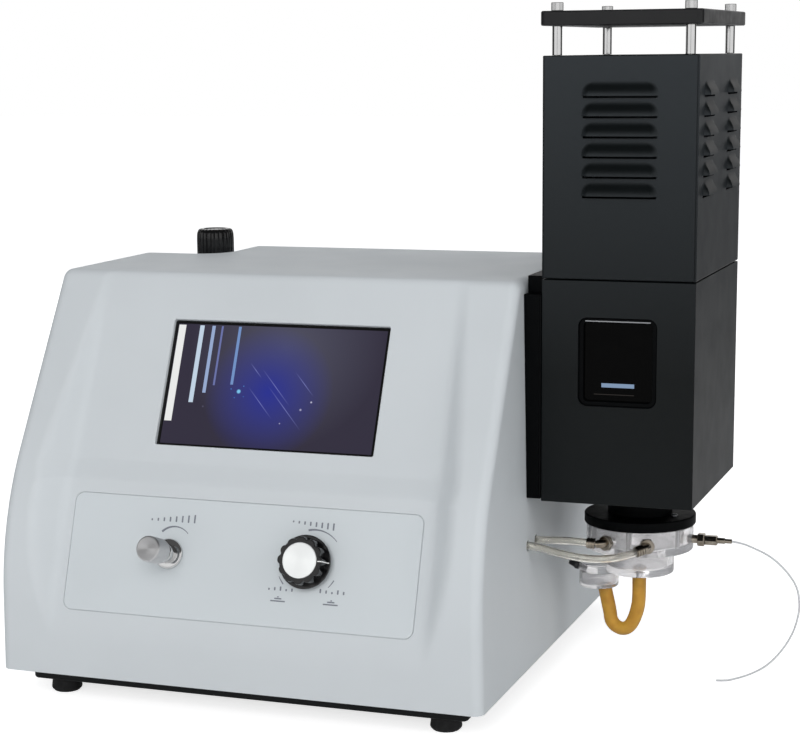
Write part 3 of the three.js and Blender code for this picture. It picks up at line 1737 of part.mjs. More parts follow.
function buildBurner(parent) {
  const centre = groupAt(parent, new THREE.Matrix4().makeTranslation(axis.x, axis.y, 0));
  const bore = burner.tubeRadius + fitGap;
  const flange = turned([
    [bore, burner.flangeLow],
    [burner.flangeRadius - burner.flangeEdge, burner.flangeLow],
    [burner.flangeRadius, burner.flangeLow + burner.flangeEdge],
    [burner.flangeRadius, burner.flangeHigh - burner.flangeEdge],
    [burner.flangeRadius - burner.flangeEdge, burner.flangeHigh],
    [burner.collarRadius, burner.flangeHigh],
    [burner.collarRadius, tower.bottom - seatGap],
    [burner.spigotRadius, tower.bottom - seatGap],
    [burner.spigotRadius, burner.spigotHigh],
    [bore, burner.spigotHigh],
    [bore, burner.flangeLow],
  ], 28);
  piece(centre, "burner_flange", flange, blackPaint);

  const tube = turned([
    [burner.tubeBore, burner.tubeLow],
    [burner.tubeRadius, burner.tubeLow],
    [burner.tubeRadius, burner.tubeHigh],
    [burner.tubeBore, burner.tubeHigh],
    [burner.tubeBore, burner.tubeLow],
  ], 16);
  piece(centre, "burner_tube", tube, steel);

  const headLow = burner.tubeHigh - burner.headSeat;
  const headHigh = headLow + burner.headHeight;
  const ports = Array.from({ length: burner.portCount }, (_, index) => {
    const turn = (index / burner.portCount) * 2 * Math.PI;
    return disc(burner.portRadius, headHigh - burner.headHeight / 2, headHigh + overrun, 6)
      .translate(burner.portCircle * Math.cos(turn), burner.portCircle * Math.sin(turn), 0);
  });
  const head = cut(
    turned([
      [0, headLow],
      [burner.headRadius, headLow],
      [burner.headRadius, headHigh - burner.headEdge],
      [burner.headRadius - burner.headEdge, headHigh],
      [0, headHigh],
    ], 14),
    disc(burner.tubeRadius + seatGap, headLow - overrun, burner.tubeHigh + seatGap, 16),
    disc(burner.tubeBore, headLow, headHigh - burner.headEdge, 12),
    disc(burner.portRadius, headLow, headHigh + overrun, 6),
    ...ports,
  );
  piece(centre, "burner_head", head, steel);

  const floor = tower.bottom + tower.sheet + seatGap;
  const insulator = turned([
    [0, tower.bottom - spark.tail],
    [spark.insulatorRadius, tower.bottom - spark.tail],
    [spark.insulatorRadius, floor],
    [spark.collarRadius, floor],
    [spark.collarRadius, floor + spark.collarHeight],
    [spark.insulatorRadius, floor + spark.collarHeight],
    [spark.insulatorRadius, spark.insulatorHigh],
    [0, spark.insulatorHigh],
  ], 12).translate(spark.across, spark.back, 0);
  const bendShares = [[1, -0.2], [1, 0.25], [0.86, 0.7], [0.62, 1]];
  const wireRise = spark.wireHigh - spark.insulatorHigh;
  const wire = roundTube(bendShares.map(([out, up]) => [
    out * spark.across, out * spark.back, spark.insulatorHigh + up * wireRise,
  ]), spark.wireRadius, 6, 6);
  piece(centre, "spark_electrode", join(insulator, wire), ceramic);
}

function buildOptics(parent) {
  const light = groupAt(parent, alongX(0, axis.y, optics.rise));
  const blockRight = -optics.blockStart;
  const blockLeft = blockRight - optics.blockLength;
  const halfWide = optics.blockWidth / 2;
  const halfHigh = optics.blockHeight / 2;
  const boreFloor = optics.spigotEnd - optics.boreEnd;
  const beams = [-1, 1].map((side) =>
    disc(optics.beamRadius, blockLeft - overrun, boreFloor + seatGap, 10)
      .translate(0, side * optics.beamSpread, 0));
  const block = cut(
    join(
      box([-halfWide, -halfHigh, blockLeft], [halfWide, halfHigh, blockRight]),
      disc(optics.spigotRadius, blockRight - seatGap, optics.spigotEnd, 20),
    ),
    disc(optics.boreRadius, boreFloor, optics.spigotEnd + overrun, 20),
    ...beams,
  );
  piece(light, "optics_block", block, blackPaint);

  const domeSteps = [0, 0.5, 1];
  const lensHalf = optics.lensThickness / 2 - optics.lensDome / 2;
  const face = (way) => domeSteps.map((share) => [
    share * optics.lensRadius, way * (lensHalf + optics.lensDome * (1 - share * share)),
  ]);
  const lensMiddle = optics.spigotEnd - optics.lensSetback - optics.lensThickness;
  const lens = turned([...face(-1), ...face(1).reverse()], 16).translate(0, 0, lensMiddle);
  piece(light, "lens", lens, clearGlass);

  const filterFront = blockLeft - seatGap;
  const filterBack = filterFront - optics.filterThickness;
  const filters = [-1, 1].map((side) => disc(optics.filterRadius, filterBack - optics.filterProud,
    filterBack + seatGap, 16).translate(0, side * optics.beamSpread, 0));
  const carrier = box(
    [-optics.filterHeight / 2, -optics.filterWidth / 2, filterBack],
    [optics.filterHeight / 2, optics.filterWidth / 2, filterFront],
  );
  piece(light, "filter_carrier", join(carrier, ...filters), filterTint);

  const canFront = filterBack - optics.filterProud - seatGap;
  const boardFront = canFront - optics.detectorLength;
  const cans = [-1, 1].map((side) => disc(optics.detectorRadius, boardFront - seatGap, canFront, 12)
    .translate(0, side * optics.beamSpread, 0));
  const half = optics.boardSize / 2;
  const plate = box([-half, -half, boardFront - optics.boardThickness], [half, half, boardFront]);
  piece(light, "detector_board", join(plate, ...cans), boardGreen);
}

// Mixing chamber and what hangs on it

function aroundAxis(turn, rise) {
  const way = [Math.sin(turn), -Math.cos(turn), 0];
  return frameAt([axis.x, axis.y, rise], [Math.cos(turn), Math.sin(turn), 0], way);
}

function buildChamber(parent) {
  const centre = groupAt(parent, new THREE.Matrix4().makeTranslation(axis.x, axis.y, 0));
  const high = burner.flangeLow - seatGap;
  const inside = chamber.radius - chamber.wall;
  const away = new THREE.Matrix4().makeTranslation(-axis.x, -axis.y, 0);
  const port = (turn, rise) => placed(
    disc(chamber.portRadius, inside - overrun, chamber.radius + overrun, 10), aroundAxis(turn, rise))
    .applyMatrix4(away);
  const body = cut(
    turned([
      [chamber.drainRadius, chamber.low],
      [chamber.radius - chamber.edge, chamber.low],
      [chamber.radius, chamber.low + chamber.edge],
      [chamber.radius, high - chamber.edge],
      [chamber.radius - chamber.edge, high],
      [inside, high],
      [inside, chamber.low + chamber.floor],
      [chamber.drainRadius, chamber.low + chamber.floor],
      [chamber.drainRadius, chamber.low],
    ], 28),
    port(fitting.airTurn, chamber.portRise),
    port(fitting.gasTurn, chamber.portRise),
    port(Math.PI / 2, nebuliser.rise),
  );
  piece(centre, "mixing_chamber", body, clearAcrylic);

  const cupHigh = chamber.low - seatGap;
  const cupForm = turned([
    [cup.nippleBore, cup.low - cup.nippleLength],
    [cup.nippleRadius, cup.low - cup.nippleLength],
    [cup.nippleRadius, cup.low],
    [cup.radius - cup.edge, cup.low],
    [cup.radius, cup.low + cup.edge],
    [cup.radius, cupHigh],
    [cup.radius - cup.wall, cupHigh],
    [cup.radius - cup.wall, cup.low + cup.floor],
    [cup.nippleBore, cup.low + cup.floor],
    [cup.nippleBore, cup.low - cup.nippleLength],
  ], 20);
  piece(centre, "drain_cup", cupForm, clearAcrylic);
}

function buildTrap(parent) {
  const standing = groupAt(parent, new THREE.Matrix4().makeTranslation(trap.x, axis.y, 0));
  const toCup = axis.x - trap.x;
  const cupGap = disc(cup.radius + fitGap, cup.low - fitGap, trap.high + overrun, 24).translate(toCup, 0, 0);
  const wasteFrame = frameAt(
    [waste.x - trap.x, 0, waste.rise], [0, 1, 0], [-Math.cos(waste.tilt), 0, Math.sin(waste.tilt)]);
  const cavityHigh = cup.low - fitGap - trap.wall;
  const rim = waste.x - trap.x + trap.radius;
  const vessel = cut(
    join(
      turned([
        [0, trap.low],
        [trap.radius - trap.edge, trap.low],
        [trap.radius, trap.low + trap.edge],
        [trap.radius, trap.high - trap.edge],
        [trap.radius - trap.edge, trap.high],
        [0, trap.high],
      ], 16),
      disc(cup.nippleRadius, trap.low - trap.nippleLength, trap.low + seatGap, 12)
        .translate(trap.nippleAcross, 0, 0),
    ),
    cupGap,
    disc(trap.radius - trap.wall, trap.low + trap.wall, cavityHigh, 16),
    disc(cup.nippleBore, trap.low - trap.nippleLength - overrun, trap.low + 2 * trap.wall, 8)
      .translate(trap.nippleAcross, 0, 0),
    placed(disc(waste.shankRadius + fitGap, -waste.shankLength, trap.radius, 12), wasteFrame),
  );
  piece(standing, "drain_trap", vessel, clearAcrylic);

  const barb = cut(
    turned([
      [0, fitGap - waste.shankLength],
      [waste.shankRadius, fitGap - waste.shankLength],
      [waste.shankRadius, rim + fitGap],
      [waste.rootRadius, rim + fitGap],
      [waste.rootRadius, rim + fitGap + waste.hexLength],
      [waste.tipRadius, waste.length],
      [0, waste.length],
    ], 14),
    disc(waste.boreRadius, -waste.shankLength - overrun, waste.length + overrun, 8),
  );
  const outlet = groupAt(standing, wasteFrame);
  piece(outlet, "waste_barb", barb, steel);
}

function buildFitting(parent, name, turn, hoseEnd) {
  const frame = aroundAxis(turn, chamber.portRise);
  const elbowAt = chamber.radius + fitting.elbowReach;
  const elbow = new THREE.Vector3(0, 0, elbowAt).applyMatrix4(frame);
  const way = new THREE.Vector3(...hoseEnd).sub(elbow).normalize();
  const barbFrame = frameAt(elbow.toArray(), [-way.y, way.x, 0], way.toArray());
  const form = join(
    placed(disc(fitting.shankRadius, chamber.radius - fitting.shankLength, elbowAt, 10), frame),
    placed(hexagon(fitting.hexRadius, chamber.radius + seatGap,
      chamber.radius + seatGap + fitting.hexLength), frame),
    new THREE.SphereGeometry(fitting.elbowRadius, 10, 6).translate(...elbow.toArray()),
    placed(disc(hose.barb, 0, fitting.elbowRadius + hose.barbLength, 8), barbFrame),
  );
  piece(parent, name, form, nickel);
}

function buildNebuliser(parent) {
  const line = groupAt(parent, alongX(0, axis.y, nebuliser.rise));
  const body = cut(
    join(
      disc(nebuliser.collarRadius, nebuliser.start, nebuliser.nutEnd + fitGap, 20),
      hexagon(nebuliser.hexRadius, nebuliser.nutEnd + fitGap, nebuliser.hexEnd),
      disc(nebuliser.tipRadius, nebuliser.hexEnd - seatGap, nebuliser.tipEnd, 16),
    ),
    disc(nebuliser.boreRadius, nebuliser.start - overrun, nebuliser.tipEnd + overrun, 10),
  );
  piece(line, "nebuliser_body", body, nickel);
  const nut = cut(
    hexagon(nebuliser.nutRadius, nebuliser.nutStart, nebuliser.nutEnd),
    disc(nebuliser.collarRadius + fitGap / 2, nebuliser.nutStart - overrun, nebuliser.nutEnd + overrun, 20),
  );
  piece(line, "nebuliser_nut", nut, nickel);
}

// Hoses, the waste loop and the capillary

function buildHoses(parent) {
  const hoses = [
    ["air_hose", airHoseRoute, 32],
    ["gas_hose", gasHoseRoute, 28],
    ["gas_line", gasLineRoute, 18],
  ];
  hoses.forEach(([name, route, steps]) => {
    piece(parent, name, roundTube(route, hose.radius, hose.sides, steps), clearHose);
  });
  const leftX = trap.x + trap.nippleAcross;
  const bend = (axis.x - leftX) / 2;
  const bendRise = drain.low + bend;
  const arc = Array.from({ length: 9 }, (_, step) => {
    const turn = (step / 8) * Math.PI;
    return [leftX + bend * (1 + Math.cos(turn)), axis.y, bendRise - bend * Math.sin(turn)];
  });
  const rightHigh = cup.low - cup.nippleLength - seatGap;
  const leftHigh = trap.low - trap.nippleLength - seatGap;
  const loop = [
    [axis.x, axis.y, rightHigh],
    [axis.x, axis.y, (rightHigh + bendRise) / 2],
    ...arc,
    [leftX, axis.y, (leftHigh + bendRise) / 2],
    [leftX, axis.y, leftHigh],
  ];
  piece(parent, "drain_tube", roundTube(loop, drain.radius, drain.sides, drain.steps), latex);
}

function buildCapillary(parent) {
  const form = roundTube(capillaryRoute, capillary.radius, capillary.sides, capillary.steps);
  piece(parent, "capillary", form, clearHose);
}

// Assembly

const photometer = new THREE.Group();
const rigid = new THREE.Group();
const free = new THREE.Group();
photometer.add(rigid, free);

buildShell(rigid);
buildPan(rigid);
buildFeet(rigid);
buildFront(rigid);
buildNeedleValve(rigid);
buildGasValve(rigid);
buildRegulator(rigid);
buildBoards(rigid);
buildRear(rigid);
buildBridge(rigid);
buildHousing(rigid);
buildChimney(rigid);
buildBaffle(rigid);
buildBurner(rigid);
buildOptics(rigid);
buildChamber(rigid);
buildTrap(rigid);
buildFitting(rigid, "air_fitting", fitting.airTurn, airHoseRoute.at(-1));
buildFitting(rigid, "gas_fitting", fitting.gasTurn, gasHoseRoute.at(-1));
buildNebuliser(rigid);
buildHoses(rigid);
buildCapillary(free);

// The origin goes to the middle of the footprint, on the surface that the feet stand on.
const reach = new THREE.Box3().setFromObject(rigid, true);
const middle = reach.getCenter(new THREE.Vector3());
photometer.position.set(-middle.x, -middle.y, -reach.min.z);
photometer.updateMatrixWorld(true);

export default photometer;
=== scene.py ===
# Looks of a flame photometer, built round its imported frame.
# Sizes are millimetres in the console's own frame: x is 0 at the shell's right side, y at its
# front face and z at its lower edge. Routes of cords and hoses are metres in that frame, and
# the studio's sizes are metres in the row's frame.

import json
import math
from types import SimpleNamespace as Sizes

import bmesh
import bpy
import numpy as np
from mathutils import Matrix, Vector


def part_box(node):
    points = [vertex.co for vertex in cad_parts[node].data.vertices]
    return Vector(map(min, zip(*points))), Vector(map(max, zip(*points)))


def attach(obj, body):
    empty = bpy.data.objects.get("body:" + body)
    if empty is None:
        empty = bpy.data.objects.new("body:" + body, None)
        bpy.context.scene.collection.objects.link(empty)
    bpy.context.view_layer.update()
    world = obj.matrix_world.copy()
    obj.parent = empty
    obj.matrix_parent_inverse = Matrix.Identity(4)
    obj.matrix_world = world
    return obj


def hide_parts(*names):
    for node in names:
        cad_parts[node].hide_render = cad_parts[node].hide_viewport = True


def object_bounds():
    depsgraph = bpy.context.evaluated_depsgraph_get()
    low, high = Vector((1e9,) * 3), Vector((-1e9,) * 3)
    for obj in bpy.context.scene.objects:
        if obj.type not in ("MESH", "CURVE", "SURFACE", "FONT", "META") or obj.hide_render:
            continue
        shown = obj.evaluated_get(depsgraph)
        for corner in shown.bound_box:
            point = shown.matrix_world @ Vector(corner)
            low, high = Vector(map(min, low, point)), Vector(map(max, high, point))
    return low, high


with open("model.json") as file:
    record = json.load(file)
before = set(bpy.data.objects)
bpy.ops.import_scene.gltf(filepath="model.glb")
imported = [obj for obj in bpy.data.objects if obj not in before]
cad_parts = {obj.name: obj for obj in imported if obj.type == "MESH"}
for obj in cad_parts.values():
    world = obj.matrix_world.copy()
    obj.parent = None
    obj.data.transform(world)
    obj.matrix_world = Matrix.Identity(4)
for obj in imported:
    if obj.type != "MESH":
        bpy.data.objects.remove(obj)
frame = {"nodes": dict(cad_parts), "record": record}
nodes = frame["nodes"]
cad_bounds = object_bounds()

MM = 0.001
degrees = math.radians

shell_low, shell_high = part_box("housing_shell")
origin = Vector((shell_high.x, shell_low.y, shell_low.z))

# Console sizes

shell = Sizes(
    width=340, height=262, depth=373, top_back=302, wall=3, draft_share=0.0165, knee=103,
    lean=degrees(31.7), belly=184, brow=9, rear=15, edge=7, rim_blend=5, column=1.6,
    rim_band=60, edge_steps=8, middle_steps=16,
)
shell.centre = -shell.width / 2
shell.rear_lean = math.atan2(shell.depth - shell.top_back, shell.height)
recess = Sizes(
    start=36, lower_lean=degrees(19.4), ledge_low=129, ledge_high=140.4, ledge_depth=41.2,
    upper_lean=degrees(24.9), fillet=9, inset=42, side_fillet=12, slope=degrees(45),
)
notch = Sizes(side=269, front=222, floor=96, radius=24)
fascia = Sizes(width=246.6, height=78.7, rise=9.9, thickness=0.8, radius=6, gap=0.3, edge=0.15)
screen = Sizes(
    across=4.85, rise=12.7, width=155.7, height=88, radius=1.5, margin=5, sink=3.1,
    thickness=1.8, border=2.2, border_low=1.9, border_right=2.6, streak_turn=degrees(47),
    streak_half=0.35, streak_share=0.8, streak_tone=(146, 152, 222), tone=(54, 50, 66),
    border_tone=8, glass_tone=6, patch=40, gloss=(0.07, 0.13),
    glows=((10, 84, 70, (84, 84, 102)), (2, 53, 46, (44, 52, 150))),
)
screen.lines = [
    (2.7, 17.5, 5.2, 67.5, (244, 245, 244)),
    (18.3, 31, 3.2, 54, (202, 220, 238)),
    (27.3, 38, 2.4, 47, (158, 178, 216)),
    (34.2, 43.5, 1.4, 41.5, (112, 120, 176)),
    (46.8, 44.5, 2, 40.5, (120, 152, 206)),
]
screen.streaks = [(70, 33, 29), (80, 44, 34), (88, 30, 40), (100, 47, 22), (64, 55, 14)]
screen.stars = [
    (53.7, 40, 3.4, (130, 204, 246)), (48, 41.5, 1.2, (70, 120, 200)),
    (51.2, 35.6, 1.1, (64, 110, 190)), (56.8, 43.8, 1, (84, 140, 214)),
    (57.6, 36.6, 0.9, (64, 110, 190)), (106.5, 35, 1.6, (190, 188, 214)),
    (99.7, 29.5, 1.9, (164, 162, 196)), (86.3, 19.5, 1.2, (164, 162, 196)),
    (29.4, 28.5, 1.5, (84, 82, 104)), (50, 24, 1.8, (58, 56, 108)),
]
marks = Sizes(
    high=0.05, line=0.4, knob_turn=degrees(1),
    arcs=((-47.9, 57.1, 12.9, 42, 136, 1.5), (51, 54, 20.6, 42, 104, 1.3),
          (48, 53, 21.5, 208, 224, 0.8), (48, 53, 21.5, 316, 332, 0.8)),
    tick=1.1,
    rows=((-66, 4.4, 73, 0, 1.4, 0.6, 8, 8), (34.5, 4, 78.4, -0.5, 1.2, 0.5, 8, 8),
          (22.5, 4, 33.6, 0, 1.4, 0.7, 5, 3), (58, 4, 34.2, 0, 2.8, -0.7, 5, 3)),
    bars=((27.4, 28, 5, 0.9), (24.8, 26.4, 10.2, 0.9), (64, 28.4, 5, 0.9),
          (61.2, 26.8, 10.2, 0.9)),
    dots=((66.6, 29.9, 0.5), (29.9, 29.6, 0.5)),
)
rear = Sizes(
    side_inset=22, notch_inset=12, low=14, height=214, overlap=8, thickness=2, radius=6,
    vent_length=46, vent_width=3.2, vent_pitch=8, vent_count=8, vent_rise=130, vent_across=10,
    sink=3.1, screw_inset=13, screw=3, screw_height=1.7, screw_slot=0.7,
)
rear.left = shell.centre + rear.side_inset
rear.right = notch.side + shell.centre - rear.notch_inset
needle = Sizes(
    across=-50.4, rise=51.6, hole=5.3, thread=5.1, bezel=10.2, bezel_high=2.4, boss=6.6,
    boss_high=11, bore=3.35, spindle=3, spindle_end=-26, knob=8.4, knob_low=16, knob_high=33,
    edge=1.1, dish=0.35, bezel_round=1.8, boss_round=0.9, foot_round=1.2,
)
gas = Sizes(
    across=48, rise=53, hole=5.3, skirt=17.5, skirt_low=4.6, skirt_high=6.4, grip=15.9,
    grip_high=15.4, taper=0.5, flute=1.6, flutes=12, line=0.34, line_step=0.6, line_depth=1,
    cap=11.6, cap_low=14.4, cap_high=16, nut_room=10.8, nut_room_high=8.2, spindle=3.1,
    spindle_high=10.9, brim=((0, 0.9), (0.12, 0.45), (0.35, 0.15), (0.7, 0)),
)

# Small sizes that many pieces share: how far a cutter runs over, a broken edge, the gap between
# neighbours, the room round a part in its hole, and the roundings of edges

overrun = 4
chamfer = 0.4
gap = 0.1
play = 0.3
nick = Sizes(hair=0.05, trace=0.1, fine=0.2, small=0.3, usual=0.4, soft=0.5, round=0.6, wide=0.8,
             full=1, broad=2)
screw_shares = Sizes(wall=0.45, wall_round=0.25, crown=0.62, crown_round=0.5)

# Counts of flats round a turned form, counts of steps in a rounded corner, and the angles from
# which an edge counts as sharp

sides = Sizes(thin=12, small=24, slim=32, usual=48, turned=64, wide=80, full=96)
bends = Sizes(edge=3, few=4, turned=5, usual=6, many=8, most=12)
sharp_from = Sizes(usual=degrees(32), shell=degrees(28), louvres=degrees(52), bevel=degrees(35))

# Sizes under, behind and beside the console

pan = Sizes(
    left=-325.5, right=-14.5, front=16, back=355, low=-10, sheet=1.5, bend=2, corner=4,
    rim_low=2, rim_inset=3.4, rim_back=368.5, slot_length=40, slot_width=4, slot_pitch=10,
    slot_count=6, slot_back=70,
)
foot = Sizes(
    sides=(("left", -307), ("right", -33)), rows=(("front", 30), ("rear", 339)), top=-10.1,
    low=-20, top_radius=9.5, radius=10.5, edge=2, well=4.5, well_depth=5, screw=3.9,
    screw_height=2.4, slot=0.9,
)
inlet = Sizes(
    across=40, rise=46, width=31, height=54, flange=2.2, margin=2, depth=26, socket_width=24,
    socket_height=17, socket_depth=16, socket_drop=12, socket_radius=3, pin_width=2,
    pin_height=4, pin_length=10, pin_pitch=7, pin_step=4, well_width=20, well_height=14,
    well_depth=12, well_rise=15, pivot=1.35, pivot_reach=1.8,
)
rocker = Sizes(
    half_width=9.4, crest=5.8, root=3.9, proud=2.6, sink=4, pivot_sink=3, tilt=degrees(10),
    pin=1.2, pin_reach=2.1, mark=1.7, mark_line=0.5, mark_rise=3.6, mark_sink=0.2,
    mark_proud=0.06, bar=0.3, tip_drop=0.5, steps=10,
)
union = Sizes(
    across=-96, rise=40, nut=8, nut_high=7, shank=5, barb=3.6, lip=0.7, barb_length=16,
    barbs=3, bore=0.9, inner_nut=5, tail=3, tail_radius=1.9, wall=1, crest_share=0.15,
)
regulator = Sizes(
    x=-295, y=268, width=38, corner=5, low=186, high=222, port_rise=204, port=8,
    port_length=3, port_bore=5, port_depth=8, barb=1.9, barb_length=3, bore=0.9, well=8,
    well_depth=14, bowl=14.5, bowl_low=122, bowl_nose=10, bowl_nose_radius=5, bowl_wall=2,
    bonnet=16, bonnet_top=12, neck=13, bonnet_high=244, screw=4, screw_foot=7.65,
    screw_foot_high=8, screw_high=262, knob=14.2, ribs=24, rib=0.8, knob_low=245,
    knob_high=277, knob_wall=2.4, bracket_sheet=2, bracket_width=36, bracket_height=40,
    bracket_side=25.9, bracket_hole=13.3, bracket_bend=3, port_root=1, bowl_round=4,
    bowl_inner_round=3, shoulder=3, screw_play=0.35, hub_wall=2.7, lid=5, dish_rim=5.5,
    dish_depth=0.5, crown=((0, 8), (0.2, 4), (0.7, 2), (1.6, 0.6), (3, 0)),
)

# Tower sizes

tower = Sizes(
    left=7.7, width=100.6, front=108.3, depth=149.1, bottom=116, seam=262.7, top=405,
    sheet=1.5, lip=13, seam_lip=6, seam_gap=0.7, edge=0.7, fold=1, fold_width=0.9, fold_depth=0.8,
    # the span of heights over which the tower's paint is painted lighter, as a painted reflection
    bloom=(200, 415),
)
tower.right = tower.left + tower.width
tower.back = tower.front + tower.depth
axis = Sizes(x=tower.left + tower.width / 2, y=tower.front + tower.depth / 2)
bridge = Sizes(
    front=107.5, back=250, low=117.6, shoulder=253, shoulder_back=118, high=264,
    groove=0.6, groove_at=6.5,
)
louvre = Sizes(
    rows=6, lowest=316.8, pitch=12.6, height=9.2, bulge=3.6, front_width=49.7, side_width=37,
    side_inset=15.4, radius=7, steps=14, sheet=0.9, round_steps=8, end=5, step=0.03,
    crown_power=1.15, end_power=0.8, arc_share=0.98,
)
window = Sizes(
    width=51.8, height=58, low=181, radius=6, depth=7, setback=1.2, wall=3.4,
    glass=2, glass_setback=3.6, lip=1.2, lip_width=2.5, fit=0.3, soft=0.7,
    gleams=((-11, 12.3, 10.6, 15, (128, 150, 178)), (-16, 7.4, 10.6, 7.9, (46, 43, 41))),
    # a bright strip that stands as a painted highlight on the opening's top bevel
    trim=(-21.5, 55.2, 21.5, 56.1), trim_sink=0.2, trim_proud=0.35, patch=12,
    tone=2, gloss=(0.1, 0.18),
)
baffle = Sizes(low=423.5, high=432.8, side=1.7, front=1.8, corner=4, edge=1.1)
rod = Sizes(
    inset_x=7.5, inset_y=7.2, radius=3.25, shank=2, hole=2.3, head=3.9, head_high=5.2,
    socket=1.7, socket_depth=2.6, nut=3.6, nut_high=3.2, ribs=24, rib=0.22, root=0.5,
)
optics = Sizes(rise=205, spigot=16.7, bore=13)

# Sizes under the tower

flange = Sizes(
    radius=38, low=89.5, high=96.6, edge=1, collar=22, spigot=19.6, spigot_high=124, bore=10.3,
    screw_at=(83.5, 175.3), screw=2.2, screw_high=1.6, screw_slot=0.6,
)
spark_hole = Sizes(across=26, back=12, radius=3.5)
chamber = Sizes(
    radius=36.5, low=72, wall=7, floor=4, edge=0.8, port=3.2, rise=81, drain=12, bolts=6,
    bolt=1.5, bolt_circle=33, bolt_depth=13, bolt_room=1,
)
cup = Sizes(radius=23.5, low=55, wall=4, floor=4, edge=1, nipple=2.8, bore=1.5, nipple_low=53.4)
trap = Sizes(x=29.5, radius=13.6, high=58.8, low=42.3, wall=2, edge=1.5, nipple_at=3.6, drop=1.6)
waste = Sizes(
    x=21, rise=54.4, tilt=degrees(12), root=3.4, tip=1.6, length=13, collar=3, bore=0.9,
    shank=1.8, shank_end=-2.7, room_end=-3, start=5.4, ridges=4, ridge=0.45, ridge_share=0.9,
    root_share=0.3,
)
fitting = Sizes(
    hex=5.4, hex_length=3, elbow=3.1, reach=7, shank=2.8, shank_length=5,
    air_turn=degrees(-23.6), gas_turn=degrees(19.5), barb=1.9, barb_length=6.3, ring=5,
    ring_length=1, sleeve=3.7, sleeve_start=1.2, sleeve_bands=3, band=1.9, band_share=0.7,
    groove=0.5, root=2, barb_start=1, steps=12,
)
nebuliser = Sizes(
    rise=79.6, start=86, collar=2.9, hex=3.6, hex_start=103.3, hex_end=111.6, tip=2,
    tip_end=121.5, bore=0.9, nut=4.8, nut_start=98.3, nut_end=103, nut_bore=3.05, neck=0.45,
    neck_start=5, neck_full=4.6,
)
hose = Sizes(radius=2.75, bore=1.95, hole=3.7, over=2.6)
drain = Sizes(
    radius=4.8, bore=2.9, path_low=12.2, over=1.5, slim_share=0.985,
    wave_shares=((0.012, 9), (0.006, 31)),
    shares=((1, 1), (1, 0.8), (1, 0.6), (0.98, 0.42), (0.91, 0.25), (0.8, 0.1), (0.67, 0.02),
            (0.53, 0), (0.4, 0.03), (0.29, 0.1), (0.215, 0.21), (0.18, 0.38), (0.13, 0.58),
            (0.07, 0.8), (0.02, 1)),
)

air_wall = (-0.003, 0.1305, 0.084)
gas_wall = (-0.003, 0.1104, 0.0847)

# Light

studio = Sizes(
    reach=12, floor=0.72, floor_tone=235, mirrored=0.12, ambient=0.43,
    ambient_tone=(248, 250, 253), ceiling=0.1, ceiling_span=(0.4, 0.46),
    lamps=(
        ("front_key", (0.25, -2.3, 1.25), (0, 0, 0.15), (1.8, 1.4), 31),
        ("right_fill", (2.2, -0.4, 0.9), (0, 0, 0.2), (1.6, 1.6), 12),
        ("rear_fill", (-1.3, 2, 1.1), (0, 0, 0.15), (1.8, 1.4), 13),
    ),
    card_high=1.5,
    cards=(
        ("left_card", (-1.6, 0.9), (-1.1, -0.95), 70),
        ("right_card", (1.9, 0.3), (0.75, 2.1), 70),
        ("camera_card", (0.43, -1.62), (0.6, -1.56), 80),
    ),
)

# Camera: the photograph's own angle, distance and framing

view = Sizes(
    place=(357.92, -1171.80, 407.51), azimuth=degrees(19.98), elevation=degrees(10.659),
    roll=degrees(-0.611), focal=2050.93, middle=(376.02, 439.45), picture=(800, 737), sensor=36,
)


def place(point):
    """A point of the console's frame, in millimetres, as a place in the row frame."""
    return origin + Vector(point) * MM


def link(name, data):
    """Puts new data in the scene as an object."""
    made = bpy.data.objects.new(name, data)
    bpy.context.scene.collection.objects.link(made)
    return made


def make_camera():
    data = bpy.data.cameras.new("camera")
    data.sensor_width = view.sensor
    data.lens = view.focal * view.sensor / view.picture[0]
    data.shift_x = (view.picture[0] / 2 - view.middle[0]) / view.picture[0]
    data.shift_y = (view.middle[1] - view.picture[1] / 2) / view.picture[0]
    camera = link("camera", data)
    turn = Matrix.Rotation(view.azimuth, 4, "Z")
    tip = Matrix.Rotation(math.pi / 2 - view.elevation, 4, "X")
    camera.matrix_world = (
        Matrix.Translation(place(view.place)) @ turn @ tip @ Matrix.Rotation(view.roll, 4, "Z")
    )
    bpy.context.scene.camera = camera


make_camera()

# Outlines


def fillet(before, corner, after, radius, steps):
    here = Vector(corner)
    back = (Vector(before) - here).normalized()
    ahead = (Vector(after) - here).normalized()
    half = back.angle(ahead) / 2
    centre = here + (back + ahead).normalized() * (radius / math.sin(half))
    start = here + back * (radius / math.tan(half)) - centre
    end = here + ahead * (radius / math.tan(half)) - centre
    sweep = math.atan2(start.x * end.y - start.y * end.x, start.dot(end))
    return [centre + Matrix.Rotation(sweep * step / steps, 2) @ start for step in range(steps + 1)]


def outline(corners, steps=bends.usual):
    """A closed outline from corners of x, y and, where it is round, a radius."""
    points = []
    for index, corner in enumerate(corners):
        if len(corner) > 2 and corner[2] > 0:
            after = corners[(index + 1) % len(corners)]
            points += fillet(corners[index - 1][:2], corner[:2], after[:2], corner[2], steps)
        else:
            points.append(Vector(corner[:2]))
    return points


def rectangle(left, low, right, high, radius, steps=bends.usual):
    corners = [(left, low), (right, low), (right, high), (left, high)]
    return outline([(x, y, radius) for x, y in corners], steps)


def circle(radius, count=sides.usual, x=0, y=0):
    turns = [2 * math.pi * side / count for side in range(count)]
    return [Vector((x + radius * math.cos(turn), y + radius * math.sin(turn))) for turn in turns]


